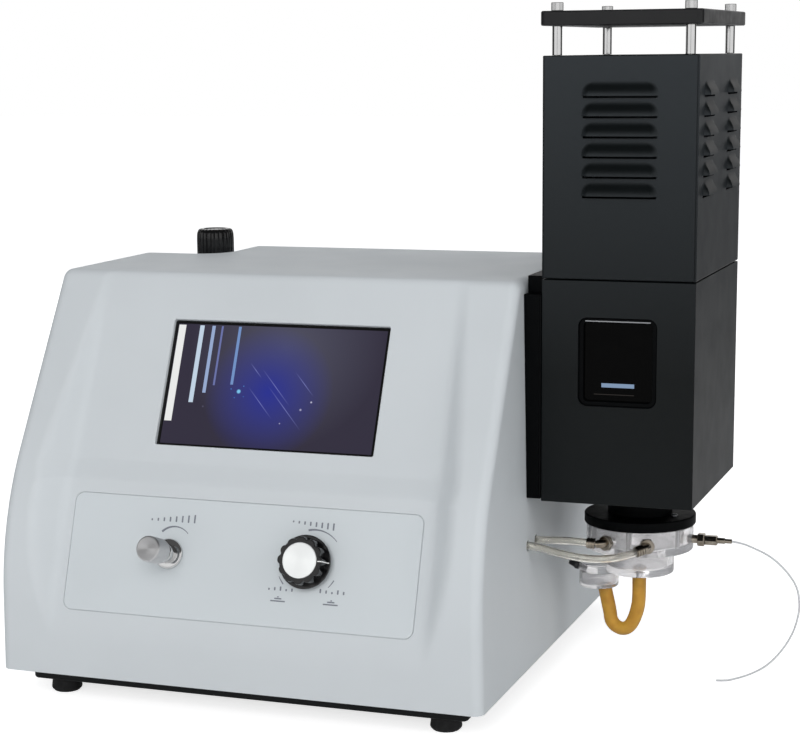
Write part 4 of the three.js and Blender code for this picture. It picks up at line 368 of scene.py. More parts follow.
def inset_corners(corners, insets):
    """Corners in anticlockwise order with each edge moved inwards by its own inset."""
    lines = []
    for index, corner in enumerate(corners):
        here = Vector(corner[:2])
        along = (Vector(corners[(index + 1) % len(corners)][:2]) - here).normalized()
        lines.append((here + Vector((-along.y, along.x)) * insets[index], along))
    moved = []
    for index, corner in enumerate(corners):
        (point, along), (before, way) = lines[index], lines[index - 1]
        gap = point - before
        reach = (gap.x * along.y - gap.y * along.x) / (way.x * along.y - way.y * along.x)
        spot = before + way * reach
        moved.append((spot.x, spot.y, max(corner[2] - insets[index], 0)))
    return moved


# Forms are a list of points in millimetres and a list of faces


def loft(rings, capped=True, closed=False):
    count = len(rings[0])
    points = [tuple(point) for ring in rings for point in ring]
    faces = []
    pairs = len(rings) if closed else len(rings) - 1
    for ring in range(pairs):
        low, high = ring * count, ((ring + 1) % len(rings)) * count
        for step in range(count):
            after = (step + 1) % count
            faces.append((low + step, low + after, high + after, high + step))
    if capped and not closed:
        faces.append(tuple(range(count))[::-1])
        faces.append(tuple(range(len(points) - count, len(points))))
    return points, faces


def prism(points, low, high):
    return loft([[(x, y, z) for x, y in points] for z in (low, high)])


def tray(outline_at, levels):
    """A prism whose outline grows by the first value at each height of the second."""
    return loft([[(x, y, z) for x, y in outline_at(grow)] for grow, z in levels])


def edge_levels(low, high, low_round, high_round, steps=bends.few):
    """Levels of a slab whose lower and upper edges are rounded."""
    levels = []
    for radius, end, way in ((low_round, low, 1), (high_round, high, -1)):
        count = steps if radius else 0
        turns = [math.pi / 2 * step / max(count, 1) for step in range(count + 1)]
        arc = [(radius * (math.sin(turn) - 1), end + way * radius * (1 - math.cos(turn)))
               for turn in turns]
        levels += arc[::way]
    return levels


def grown(left, low, right, high, radius, steps=bends.usual):
    """A rounded rectangle as an outline that can grow."""
    return lambda grow: rectangle(left - grow, low - grow, right + grow, high + grow,
                                  radius + grow, steps)


def centred(x, y, width, height, radius):
    """The same about its middle."""
    return grown(x - width / 2, y - height / 2, x + width / 2, y + height / 2, radius)


def slots(x, heights, length, width, low, high):
    """A row of slots with round ends."""
    return gather(*(prism(centred(x, y, length, width, width / 2 - gap)(0), low, high)
                    for y in heights))


def slab(outline_at, low, high, low_round=0, high_round=0):
    return tray(outline_at, edge_levels(low, high, low_round, high_round))


def disc(radius, low, high, low_round=0, high_round=0, count=sides.usual):
    return slab(lambda grow: circle(radius + grow, count), low, high, low_round, high_round)


def drill(radius, low, high):
    """A round cutter that runs over at both ends."""
    return disc(radius, low - overrun, high + overrun)


def shifted(form, x, y=0):
    return moved(form, Matrix.Translation((x, y, 0)))


def fluted(radius, depth, count, steps=bends.many):
    """A circle with shallow flutes."""
    points = []
    for step in range(count * steps):
        turn = 2 * math.pi * step / (count * steps)
        dip = (1 - math.cos(count * turn)) / 2
        reach = radius - depth * dip * dip
        points.append(Vector((reach * math.cos(turn), reach * math.sin(turn))))
    return points


def box(low, high):
    return prism([(low[0], low[1]), (high[0], low[1]), (high[0], high[1]), (low[0], high[1])],
                 low[2], high[2])


def lathe(profile, segments=sides.turned, closed=False):
    """A profile of radius and height turned about Z."""
    points, rings = [], []
    for radius, height in profile:
        start = len(points)
        if radius > 0:
            points += [(x, y, height) for x, y in circle(radius, segments)]
        else:
            points.append((0, 0, height))
        rings.append(range(start, len(points)))
    faces = []
    following = rings[1:] + rings[:1] if closed else rings[1:]
    for low, high in zip(rings, following):
        for step in range(segments):
            after = (step + 1) % segments
            corners = (low[step % len(low)], low[after % len(low)], high[after % len(high)],
                       high[step % len(high)])
            face = tuple(dict.fromkeys(corners))
            if len(face) > 2:
                faces.append(face)
    return points, faces


def turned(corners, segments=sides.turned, steps=bends.turned):
    """Turns an outline that closes on the axis, with corners of radius, height and roundness."""
    points = [tuple(point) for point in outline(corners, steps)]
    return lathe(points, segments)


def tube_ring(corners, segments=sides.turned, steps=bends.turned):
    """Turns an outline that stays clear of the axis."""
    points = [tuple(point) for point in outline(corners, steps)]
    return lathe(points, segments, closed=True)


def hexagon(radius, low, high):
    """A hexagonal bar with its corners turned down at both ends."""
    bar, share = circle(radius, 6), 1 - chamfer / radius
    levels = ((share, low), (1, low + chamfer), (1, high - chamfer), (share, high))
    return loft([[(x * size, y * size, z) for x, y in bar] for size, z in levels])


def moved(form, matrix):
    points, faces = form
    return [tuple(matrix @ Vector(point)) for point in points], faces


def gather(*forms):
    points, faces = [], []
    for form_points, form_faces in forms:
        start = len(points)
        points += form_points
        faces += [tuple(start + corner for corner in face) for face in form_faces]
    return points, faces


def smooth_route(route, steps=bends.many):
    """A curve through the route's points, closely sampled."""
    points = [Vector(point) for point in route]
    ends = [2 * points[0] - points[1], *points, 2 * points[-1] - points[-2]]
    samples = []
    for before, start, end, after in zip(ends, ends[1:], ends[2:], ends[3:]):
        for step in range(steps):
            t = step / steps
            samples.append(0.5 * (
                2 * start + (end - before) * t
                + (2 * before - 5 * start + 4 * end - after) * t ** 2
                + (3 * start - before - 3 * end + after) * t ** 3
            ))
    return [*samples, points[-1]]


def swept_rings(points, radius_at, count):
    """Rings square to a path, without twist."""
    rings = []
    side = None
    for index, point in enumerate(points):
        along = (points[min(index + 1, len(points) - 1)] - points[max(index - 1, 0)]).normalized()
        if side is None:
            side = along.orthogonal().normalized()
        side = (side - along * side.dot(along)).normalized()
        up = along.cross(side)
        share = index / (len(points) - 1)
        rings.append([
            tuple(point + (side * x + up * y) * radius_at(share)) for x, y in circle(1, count)
        ])
    return rings


def hollow_tube(points, radius_at, bore, count=sides.small):
    outside = swept_rings(points, radius_at, count)
    inside = swept_rings(points, lambda share: bore, count)
    return loft([*outside, *inside[::-1]], closed=True)


# Frames with X along the first way and Z along the second

ACROSS, BACK, UP = (1, 0, 0), (0, 1, 0), (0, 0, 1)


def facing(x_way, z_way):
    x, z = Vector(x_way).normalized(), Vector(z_way).normalized()
    return Matrix((x, z.cross(x), z)).transposed().to_4x4()


def frame_at(point, x_way, z_way):
    """A piece's own frame at a point of the console."""
    return Matrix.Translation(place(point)) @ facing(x_way, z_way)


def local(point, x_way, z_way):
    """The same frame as a matrix in console millimetres."""
    return Matrix.Translation(point) @ facing(x_way, z_way)


console_frame = frame_at((0, 0, 0), ACROSS, UP)
control_ways = (ACROSS, (0, -math.cos(recess.lower_lean), math.sin(recess.lower_lean)))
screen_ways = (ACROSS, (0, -math.cos(recess.upper_lean), math.sin(recess.upper_lean)))
rear_ways = ((-1, 0, 0), (0, math.cos(shell.rear_lean), math.sin(shell.rear_lean)))
control_place = (shell.centre, 0, recess.start)
screen_place = (shell.centre, recess.ledge_depth, recess.ledge_high)
rear_place = (shell.centre, shell.depth, 0)
control_frame = frame_at(control_place, *control_ways)
screen_frame = frame_at(screen_place, *screen_ways)
rear_frame = frame_at(rear_place, *rear_ways)


def upright(x, y):
    return frame_at((x, y, 0), ACROSS, UP)


def slid(matrix, x, y, z=0):
    """A frame moved along its own ways, in millimetres."""
    return matrix @ Matrix.Translation(Vector((x, y, z)) * MM)


# Pieces


def make(name, form, matrix=console_frame):
    points, faces = form
    mesh = bpy.data.meshes.new(name)
    mesh.from_pydata([tuple(MM * value for value in point) for point in points], [], faces)
    mesh.validate()
    piece = link(name, mesh)
    piece.matrix_world = matrix
    face_out(piece)
    return piece


def face_out(piece):
    """Turns the faces of a closed piece outwards."""
    work = bmesh.new()
    work.from_mesh(piece.data)
    bmesh.ops.recalc_face_normals(work, faces=work.faces)
    work.to_mesh(piece.data)
    work.free()


def settle(piece):
    """Applies the piece's modifiers to its mesh."""
    bpy.context.view_layer.update()
    shown = piece.evaluated_get(bpy.context.evaluated_depsgraph_get())
    mesh = bpy.data.meshes.new_from_object(shown)
    before = piece.data
    piece.modifiers.clear()
    piece.data = mesh
    bpy.data.meshes.remove(before)
    mesh.name = piece.name


def combine(piece, operation, tools):
    """Joins the tools to the piece or cuts them from it, and clears them away."""
    for tool in tools:
        step = piece.modifiers.new("step", "BOOLEAN")
        step.operation = operation
        step.solver = "MANIFOLD"
        step.object = tool
    settle(piece)
    for tool in tools:
        bpy.data.objects.remove(tool)
    return piece


def cut(piece, *forms):
    tools = [make("tool", form, piece.matrix_world) for form in forms]
    return combine(piece, "DIFFERENCE", tools)


def add(piece, *forms):
    tools = [make("tool", form, piece.matrix_world) for form in forms]
    return combine(piece, "UNION", tools)


def soften(piece, width):
    """Rounds the piece's sharp edges."""
    bevel = piece.modifiers.new("edges", "BEVEL")
    bevel.width = width * MM
    bevel.segments = bends.edge
    bevel.limit_method = "ANGLE"
    bevel.angle_limit = sharp_from.bevel
    bevel.use_clamp_overlap = True
    settle(piece)
    return piece


def dress(piece, finish, *replaced, body="console", slot=None, sharp=sharp_from.usual):
    """Shades a piece, gives it its finish and lets it ride."""
    if piece.type == "MESH":
        piece.data.shade_smooth()
        piece.data.set_sharp_from_angle(angle=sharp)
        even = piece.modifiers.new("even", "WEIGHTED_NORMAL")
        even.keep_sharp = True
        settle(piece)
    piece.data.materials.clear()
    piece.data.materials.append(finish)
    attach(piece, body)
    if replaced:
        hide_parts(*replaced)
    return piece


# Finishes: patches, grain, edge widths and painted sheen heights in millimetres,
# scatter radii in metres

upright_span = (0.02, 0.5)
finishes = {}


def linear(red, green, blue):
    """A colour written 0 to 255 as a shader takes it."""
    def share(value):
        value = value / 255
        return value / 12.92 if value <= 0.04045 else ((value + 0.055) / 1.055) ** 2.4
    return (share(red), share(green), share(blue), 1)


def grey(value):
    return linear(value, value, value)


def node(tree, kind, settings=None, **sockets):
    made = tree.nodes.new("ShaderNode" + kind)
    for key, value in (settings or {}).items():
        setattr(made, key, value)
    for key, value in sockets.items():
        socket = made.inputs[int(key[1:])] if key[0] == "n" and key[1:].isdigit() else (
            made.inputs[key.replace("_", " ")])
        if isinstance(value, bpy.types.NodeSocket):
            tree.links.new(value, socket)
        else:
            socket.default_value = value
    return made


def new_material(name):
    material = bpy.data.materials.new(name)
    material["slot"] = name
    material.use_nodes = True
    material.node_tree.nodes.clear()
    return material, material.node_tree


def maths(tree, operation, *values):
    """The outcome of one sum in a node tree."""
    sockets = {f"n{index}": value for index, value in enumerate(values)}
    return node(tree, "Math", {"operation": operation}, **sockets).outputs[0]


def show(tree, shader, kind="OutputMaterial"):
    """Ends a node tree with the shader that it shows."""
    tree.links.new(shader.outputs[0], node(tree, kind).inputs[0])


def mixed(tree, share, first, second):
    """Two colours mixed by a share."""
    mix = node(tree, "Mix", {"data_type": "RGBA"})
    for socket, value in zip((mix.inputs[0], mix.inputs[6], mix.inputs[7]), (share, first, second)):
        if isinstance(value, bpy.types.NodeSocket):
            tree.links.new(value, socket)
        else:
            socket.default_value = value
    return mix.outputs[2]


def noise(tree, size, detail, rough=0.5):
    """Noise whose features are about size millimetres across."""
    where = node(tree, "TexCoord").outputs["Object"]
    return node(tree, "TexNoise", Vector=where, Scale=1 / (size * MM), Detail=detail,
                Roughness=rough).outputs[0]


def ranged(tree, value, low, high, start=0.3, end=0.7):
    return node(tree, "MapRange", Value=value, From_Min=start, From_Max=end, To_Min=low,
                To_Max=high).outputs[0]


def edge_share(tree, width, low=0.02, high=0.3):
    """How near a point is to a convex edge, from 0 to 1."""
    round_normal = node(tree, "Bevel", {"samples": 4}, Radius=width * MM).outputs[0]
    flat_normal = node(tree, "NewGeometry").outputs["Normal"]
    turn = node(tree, "VectorMath", {"operation": "DOT_PRODUCT"}, n0=round_normal, n1=flat_normal)
    return ranged(tree, turn.outputs["Value"], 1, 0, 1 - high, 1 - low)


def finish(name, colour, roughness, metallic=0.0, patch=60, patch_dark=0.94, grain=0.5,
           grain_depth=0.02, rough_spread=0.06, edge=None, edge_width=0.5, second=None, bloom=None,
           painted_sheen_span=(0, 1), **shader):
    """A surface with slow colour patches, uneven gloss, a fine grain and lighter convex edges,
    partly worn and partly a painted highlight where a rounded edge catches the light.

    The painted sheen is a painted reflection: the colour the paint grows towards by the top of
    its span of heights, on the surfaces that do not face up, which stay dark as painted shade.
    """
    material, tree = new_material(name)
    finishes[name] = material
    dark = tuple(value * patch_dark for value in colour[:3]) + (1,)
    shade = mixed(tree, ranged(tree, noise(tree, patch, 3), 0, 1), second or dark, colour)
    # A painted reflection: lighter with height, except on surfaces that face up, kept dark as
    # painted shade
    if bloom:
        height = node(tree, "SeparateXYZ", Vector=node(tree, "TexCoord").outputs["Object"])
        share = ranged(tree, height.outputs["Z"], 0, 1, *(end * MM for end in painted_sheen_span))
        facing = node(tree, "SeparateXYZ", Vector=node(tree, "NewGeometry").outputs["Normal"])
        upright_share = ranged(tree, facing.outputs["Z"], 1, 0, *upright_span)
        shade = mixed(tree, maths(tree, "MULTIPLY", share, upright_share), shade, bloom)
    # Lighter convex edges: partly wear, partly a painted highlight where a rounded edge catches
    # light
    if edge:
        shade = mixed(tree, edge_share(tree, edge_width), shade, edge)
    gloss = ranged(tree, noise(tree, patch / 4, 4), roughness - rough_spread,
                   roughness + rough_spread)
    bump = node(tree, "Bump", Strength=1.0, Distance=grain_depth * MM,
                Height=noise(tree, grain, 3, 0.6))
    surface = node(tree, "BsdfPrincipled", Base_Color=shade, Roughness=gloss,
                   Metallic=metallic, Normal=bump.outputs[0], **shader)
    show(tree, surface)
    return material


def spun(material):
    """Turns the finish's stretched highlights round the piece's Z axis, as on a lathe."""
    tree = material.node_tree
    around = node(tree, "Tangent", {"direction_type": "RADIAL", "axis": "Z"})
    surface = next(made for made in tree.nodes if made.bl_idname == "ShaderNodeBsdfPrincipled")
    tree.links.new(around.outputs[0], surface.inputs["Tangent"])
    return material


pale_shell = finish("pale_shell", linear(203, 208, 211), 0.5, patch=120, patch_dark=0.965,
                    grain=0.7, grain_depth=0.012, Specular_IOR_Level=0.4)
pale_film = finish("pale_film", linear(203, 209, 212), 0.45, patch=90, patch_dark=0.98, grain=0.4,
                   grain_depth=0.006, Specular_IOR_Level=0.4)
black_paint = finish("black_paint", linear(15, 18, 19), 0.44, patch=80, patch_dark=0.8,
                     grain=0.5, grain_depth=0.02, rough_spread=0.025, edge=linear(30, 32, 34),
                     edge_width=0.4, Specular_IOR_Level=0.2)
# The tower's paint carries a painted reflection, lighter towards its top
tower_paint = finish("tower_paint", linear(11, 15, 16), 0.44, patch=80, patch_dark=0.8,
                     grain=0.5, grain_depth=0.02, rough_spread=0.025, edge=linear(26, 28, 30),
                     edge_width=0.3, bloom=linear(43, 47, 50), painted_sheen_span=tower.bloom,
                     Specular_IOR_Level=0.18)
black_plastic = finish("black_plastic", linear(22, 22, 24), 0.3, patch=20, grain=0.3,
                       grain_depth=0.01, edge=linear(52, 52, 55), edge_width=0.4)
black_rubber = finish("black_rubber", linear(19, 19, 20), 0.75, patch=15, patch_dark=0.8,
                      grain=0.35, grain_depth=0.03)
nickel = finish("nickel", linear(176, 168, 156), 0.2, 1.0, patch=6, patch_dark=0.75, grain=0.3,
                grain_depth=0.004, second=linear(132, 122, 108))
chrome = finish("chrome", linear(212, 212, 212), 0.07, 1.0, patch=8, patch_dark=0.95, grain=0.5,
                grain_depth=0.001, rough_spread=0.03)
finish("aluminium", linear(214, 216, 218), 0.28, 1.0, patch=12, grain=0.25,
       grain_depth=0.004)
steel = finish("steel", linear(160, 162, 165), 0.32, 1.0, patch=14, grain=0.3, grain_depth=0.006)
brass = finish("brass", linear(190, 156, 88), 0.28, 1.0, patch=8, patch_dark=0.8, grain=0.3,
               grain_depth=0.006)
finish("ceramic", linear(236, 232, 222), 0.3, patch=10, grain=0.3, grain_depth=0.008)
finish("board_green", linear(30, 88, 56), 0.4, patch=6, patch_dark=0.7, grain=0.8,
       grain_depth=0.02)
finish("filter_tint", linear(120, 60, 84), 0.1, patch=8, grain=1, grain_depth=0.001)
latex = finish("latex", linear(203, 154, 56), 0.42, patch=7, patch_dark=0.85, grain=0.6,
               grain_depth=0.02, second=linear(186, 136, 46), Subsurface_Weight=0.3,
               Subsurface_Radius=(0.004, 0.002, 0.001), Subsurface_Scale=1.0)
capillary_plastic = finish("capillary_plastic", linear(206, 208, 210), 0.3, patch=6, grain=0.4,
                           patch_dark=0.95, grain_depth=0.002, Subsurface_Weight=0.2,
                           Subsurface_Radius=(0.002, 0.002, 0.002), Subsurface_Scale=1.0)
clear_acrylic = finish("clear_acrylic", linear(241, 240, 241), 0.12, patch=10, patch_dark=0.96,
                       grain=0.6, grain_depth=0.006, Transmission_Weight=0.82, IOR=1.45)
clear_hose = finish("clear_hose", linear(247, 245, 239), 0.06, patch=10, patch_dark=0.97,
                    grain=0.6, grain_depth=0.004, rough_spread=0.03, Transmission_Weight=0.94,
                    IOR=1.42)
finish("clear_glass", linear(232, 238, 240), 0.04, patch=10, patch_dark=0.98,
       grain=1, grain_depth=0.001, rough_spread=0.02, Transmission_Weight=0.95,
       IOR=1.52)
finish("dark_glass", linear(12, 13, 16), 0.08, patch=30, grain=1, grain_depth=0.001,
       rough_spread=0.02)
satin_black = finish("satin_black", linear(27, 27, 28), 0.4, patch=40, patch_dark=0.85, grain=0.4,
                     grain_depth=0.008, edge=linear(52, 52, 54), edge_width=0.4,
                     Specular_IOR_Level=0.3)
# A darker, duller copy of the black paint: its darker colour is painted shade for the flange under
# the tower, the bridge and the window frame
dull_shaded_black = finish("dull_shaded_black", linear(4, 5, 6), 0.5, patch=30, patch_dark=0.8, grain=0.4,
                    grain_depth=0.01, edge=linear(16, 17, 18), edge_width=0.4,
                    Specular_IOR_Level=0.06)
spun_chrome = spun(finish("spun_chrome", linear(212, 212, 213), 0.42, 1.0, patch=5, grain=0.4,
                          patch_dark=0.96, grain_depth=0.0006, rough_spread=0.03,
                          Anisotropic=0.9, Anisotropic_Rotation=0.25))
# The dial's near-white, half-matt colour is partly a painted reflection of the bright studio on its
# spun aluminium
bright_disc = spun(finish("bright_disc", linear(252, 254, 253), 0.24, 0.5, patch=8, patch_dark=0.99,
                          grain=0.3, grain_depth=0.0008, rough_spread=0.03, Anisotropic=0.6,
                          Anisotropic_Rotation=0.25))
gloss_black = finish("gloss_black", linear(12, 12, 13), 0.14, patch=14, patch_dark=0.85, grain=0.3,
                     grain_depth=0.003, rough_spread=0.04, edge=linear(40, 40, 42),
                     edge_width=0.3, Specular_IOR_Level=0.5)
cast_aluminium = finish("cast_aluminium", linear(186, 188, 190), 0.42, 1.0, patch=9,
                        grain=0.6, grain_depth=0.03)
dark_steel = finish("dark_steel", linear(70, 70, 72), 0.35, 1.0, patch=6, grain=0.3,
                    grain_depth=0.006)
dark_screw = finish("dark_screw", linear(44, 44, 46), 0.32, 1.0, patch=4, grain=0.3,
                    grain_depth=0.006)
white_ink = finish("white_ink", linear(236, 236, 234), 0.45, patch=4, patch_dark=0.96, grain=0.2,
                   grain_depth=0.004)
print_ink = finish("print_ink", linear(120, 124, 134), 0.5, patch=5, patch_dark=0.9, grain=0.2,
                   grain_depth=0.004)

# The capillary hangs free from the nebuliser, along a fixed curve

capillary_diameter = 0.0014
capillary_plane = 0.18285
capillary_curve = [
    (0.1219, 0.0796), (0.1275, 0.0788), (0.1338, 0.0770), (0.1467, 0.0714), (0.1570, 0.0632),
    (0.1646, 0.0533), (0.1675, 0.0438), (0.1676, 0.0334), (0.1642, 0.0198), (0.1571, 0.0065),
    (0.1473, -0.0050), (0.1359, -0.0125), (0.1245, -0.0172), (0.1185, -0.0187),
    (0.1127, -0.0192),
]


def in_millimetres(route):
    return [Vector(point) / MM for point in route]


def make_capillary():
    route = [(x, capillary_plane, z) for x, z in capillary_curve]
    line = smooth_route(in_millimetres(route))
    radius = capillary_diameter / 2 / MM
    form = loft(swept_rings(line, lambda share: radius, sides.thin))
    piece = dress(make("sample_capillary", form), capillary_plastic, "capillary",
                  slot="clear_hose")


make_capillary()

# Console shell


def side_view(inset, lower_inset):
    """The shell's outline from the side, as y and z, with the same count of points at any inset."""
    brow = (shell.height - shell.knee) * math.tan(shell.lean)
    corners = [
        (0, 0, 0),
        (shell.depth, 0, 0),
        (shell.top_back, shell.height, shell.rear),
        (brow, shell.height, shell.brow),
        (0, shell.knee, shell.belly),
    ]
    corners = inset_corners(corners, [lower_inset] + [inset] * 4)
    arc_steps = (0, 0, 12, 18, 68)
    line_steps = (3, 8, 10, 70, 36)
    arcs = []
    for index, corner in enumerate(corners):
        if arc_steps[index]:
            after = corners[(index + 1) % len(corners)]
            arcs.append(fillet(corners[index - 1][:2], corner[:2], after[:2], corner[2],
                               arc_steps[index]))
        else:
            arcs.append([Vector(corner[:2])])
    points = []
    for index, arc in enumerate(arcs):
        points += arc
        start, end = arc[-1], arcs[(index + 1) % len(arcs)][0]
        count = line_steps[index]
        points += [start.lerp(end, step / count) for step in range(1, count)]
    return np.array([tuple(point) for point in points])


def recess_floor():
    """Depth of the recess at each height: a lower flat, a ledge and an upper flat."""
    low = (-recess.start * math.tan(recess.lower_lean), 0)
    ledge_low = ((recess.ledge_low - recess.start) * math.tan(recess.lower_lean), recess.ledge_low)
    ledge_high = (recess.ledge_depth, recess.ledge_high)
    climb = shell.height - recess.ledge_high
    top = (recess.ledge_depth + climb * math.tan(recess.upper_lean), shell.height)
    return np.array([
        low,
        *fillet(low, ledge_low, ledge_high, recess.fillet, bends.few),
        *fillet(ledge_low, ledge_high, top, recess.fillet, bends.few),
        top,
    ])


floor_line = recess_floor()


def recess_depth(side_distance, heights, grow):
    """How deep the recess reaches at a distance from the shell's side and at some heights."""
    floor = np.interp(heights, floor_line[:, 1], floor_line[:, 0])
    lean = np.where(heights < recess.ledge_low, recess.lower_lean, recess.upper_lean)
    round_edge = recess.inset - recess.side_fillet * math.sin(recess.slope)
    if side_distance >= recess.inset:
        rise = 0
    elif side_distance > round_edge:
        run = recess.inset - side_distance
        rise = recess.side_fillet - math.sqrt(recess.side_fillet ** 2 - run ** 2)
    else:
        rise = recess.side_fillet * (1 - math.cos(recess.slope))
        rise += (round_edge - side_distance) * math.tan(recess.slope)
    return floor - (rise - grow) / np.cos(lean)


def smooth_maximum(first, second, blend):
    share = np.clip(0.5 + 0.5 * (second - first) / blend, 0, 1)
    return first + (second - first) * share + blend * share * (1 - share)


def shell_form(inset, lower_inset, column, line_blend):
    """The shell's outer form, or the form of its inside when inset by the wall."""
    rings = []
    edge = shell.edge - inset
    columns = []
    for step in range(shell.edge_steps + 1):
        turn = math.pi / 2 * step / shell.edge_steps
        columns.append((inset + edge * (1 - math.cos(turn)), inset + edge * (1 - math.sin(turn))))
    count = math.ceil((shell.rim_band - shell.edge) / column)
    for step in range(1, count + 1):
        columns.append((shell.edge + (shell.rim_band - shell.edge) * step / count, inset))

    def ring(side, sunk, profile_inset):
        profile = side_view(profile_inset, lower_inset)
        y, z = profile[:, 0], profile[:, 1]
        deep = recess_depth(sunk, z, inset * math.sqrt(2))
        y = smooth_maximum(y, deep, line_blend)
        x = shell.centre + side * (shell.width / 2 - shell.draft_share * z - sunk)
        return list(zip(x, y, z))

    left = [ring(-1, *sizes) for sizes in columns]
    right = [ring(1, *sizes) for sizes in columns[::-1]]
    middle = []
    for step in range(1, shell.middle_steps):
        share = step / shell.middle_steps
        middle.append([
            tuple(Vector(start).lerp(Vector(end), share)) for start, end in zip(left[-1], right[0])
        ])
    rings = left + middle + right
    return loft(rings)


def notch_form(grow):
    left, back = -shell.width - overrun, shell.depth + overrun
    side, front = -notch.side + grow, notch.front - grow
    corners = [(left, front), (side, front, notch.radius), (side, back), (left, back)]
    return prism(outline(corners, bends.most), notch.floor - grow, shell.height + overrun)


def screen_hole(grow):
    left, low = screen.across - screen.width / 2, screen.rise
    return rectangle(left - grow, low - grow, left + screen.width + grow,
                     low + screen.height + grow, screen.radius + max(grow, 0))


fascia_outline = grown(-fascia.width / 2, fascia.rise, fascia.width / 2,
                       fascia.rise + fascia.height, fascia.radius, bends.many)
rear_outline = grown(rear.left, rear.low, rear.right, rear.low + rear.height, rear.radius)


def chamfered(outline_at, depth):
    """A cutter that goes down to a depth and breaks the edge where it enters."""
    levels = [(0, -depth), (0, -chamfer), (chamfer, 0), (chamfer, overrun)]
    return tray(outline_at, levels)


def round_hole(radius, depth, x=0, y=0):
    return chamfered(lambda grow: circle(radius + grow, sides.usual, x, y), depth)


def make_shell():
    control = local(control_place, *control_ways)
    display = local(screen_place, *screen_ways)
    behind = local(rear_place, *rear_ways)
    through = 4 * shell.wall
    hull = make("console_shell", shell_form(0, 0, shell.column, shell.rim_blend))
    inside = make("tool", shell_form(shell.wall, -overrun, 4 * shell.column, shell.rim_blend))
    cut(inside, notch_form(shell.wall))
    combine(hull, "DIFFERENCE", [inside])
    cut(
        hull,
        notch_form(0),
        moved(chamfered(screen_hole, through), display),
        moved(chamfered(lambda grow: fascia_outline(grow + fascia.gap), fascia.thickness), control),
        moved(round_hole(needle.hole, through, needle.across, needle.rise), control),
        moved(round_hole(gas.hole, through, gas.across, gas.rise), control),
        moved(round_hole(optics.spigot, through), local(
            (-shell.draft_share * optics.rise, axis.y, optics.rise), BACK, ACROSS)),
        moved(chamfered(rear_outline, through), behind),
        *(moved(round_hole(hose.hole, through), local(
            (-shell.draft_share * wall[2] / MM, wall[1] / MM, wall[2] / MM), BACK, ACROSS))
          for wall in (air_wall, gas_wall)),
    )
    dress(hull, pale_shell, "housing_shell", sharp=sharp_from.shell)


def make_fascia():
    levels = [
        (-fascia.edge, -fascia.thickness + fascia.edge),
        (0, -fascia.thickness + 2 * fascia.edge),
        (0, -fascia.edge),
        (-fascia.edge, 0),
    ]
    plate = make("control_plate", tray(fascia_outline, levels), control_frame)
    cut(plate, *(round_hole(place.hole, overrun, place.across, place.rise)
                 for place in (needle, gas)))
    dress(plate, pale_film, "control_fascia")


make_shell()
make_fascia()

# Screen and the marks on the control face


def rectangle_share(tree, where, left, low, right, high):
    """One inside a rectangle of the piece's own millimetres and nought outside it."""
    shares = [
        maths(tree, "COMPARE", where.outputs[way], (start + end) / 2 * MM, (end - start) / 2 * MM)
        for way, start, end in (("X", left, right), ("Y", low, high))
    ]
    return maths(tree, "MULTIPLY", *shares)


def streak_share(tree, place_of, x, y, length):
    """One on a thin slanting streak that fades towards its ends."""
    turned_place = node(tree, "Mapping", {"vector_type": "TEXTURE"}, Vector=place_of,
                        Location=(x * MM, y * MM, 0), Rotation=(0, 0, -screen.streak_turn))
    where = node(tree, "SeparateXYZ", Vector=turned_place.outputs[0])
    across, along = (maths(tree, "ABSOLUTE", where.outputs[way]) for way in ("Y", "X"))
    thin = ranged(tree, across, 1, 0, 0, screen.streak_half * MM)
    fade = ranged(tree, along, screen.streak_share, 0, 0, length / 2 * MM)
    return maths(tree, "MULTIPLY", thin, fade)


def away_from(tree, place_of, x, y):
    """How far a point is from a spot on the lit picture."""
    spot = (x * MM, y * MM, -screen.sink * MM)
    return node(tree, "VectorMath", {"operation": "DISTANCE"}, n0=place_of,
                n1=spot).outputs["Value"]


def make_screen_glass():
    """Dark glass over a plain lit picture: spectral lines, a blue glow, streaks and dots."""
    material, tree = new_material("screen_glass")
    place_of = node(tree, "TexCoord").outputs["Object"]
    where = node(tree, "SeparateXYZ", Vector=place_of)
    left, low = screen.across - screen.width / 2, screen.rise
    right, high = left + screen.width, low + screen.height
    shade = linear(*screen.tone)
    for x, y, reach, tone in screen.glows:
        glow = ranged(tree, away_from(tree, place_of, x, y), 1, 0, 0, reach * MM)
        shade = mixed(tree, glow, shade, linear(*tone))
    # The dark border round the lit picture is partly the display's unlit margin and partly painted
    # shade from the wall round the opening
    lit = rectangle_share(tree, where, left + screen.border, low + screen.border_low,
                          right - screen.border_right, high - screen.border)
    shade = mixed(tree, lit, grey(screen.border_tone), shade)
    for x, y, width, height, tone in screen.lines:
        share = rectangle_share(tree, where, left + x, low + y, left + x + width, low + y + height)
        shade = mixed(tree, share, shade, linear(*tone))
    for x, y, length in screen.streaks:
        share = streak_share(tree, place_of, left + x, low + y, length)
        shade = mixed(tree, share, shade, linear(*screen.streak_tone))
    for x, y, size, tone in screen.stars:
        away = away_from(tree, place_of, left + x, low + y)
        share = ranged(tree, away, 1, 0, size * MM / 4, size * MM / 2)
        shade = mixed(tree, share, shade, linear(*tone))
    gloss = ranged(tree, noise(tree, screen.patch, 3), *screen.gloss)
    surface = node(tree, "BsdfPrincipled", Base_Color=grey(screen.glass_tone), Roughness=gloss,
                   Emission_Color=shade, Emission_Strength=0.9, Specular_IOR_Level=0.4)
    show(tree, surface)
    return material


def make_screen():
    form = slab(lambda grow: screen_hole(screen.margin + grow), -screen.sink - screen.thickness,
                -screen.sink, gap, gap)
    dress(make("touch_panel", form, screen_frame), make_screen_glass(), "touch_glass",
          slot="dark_glass")


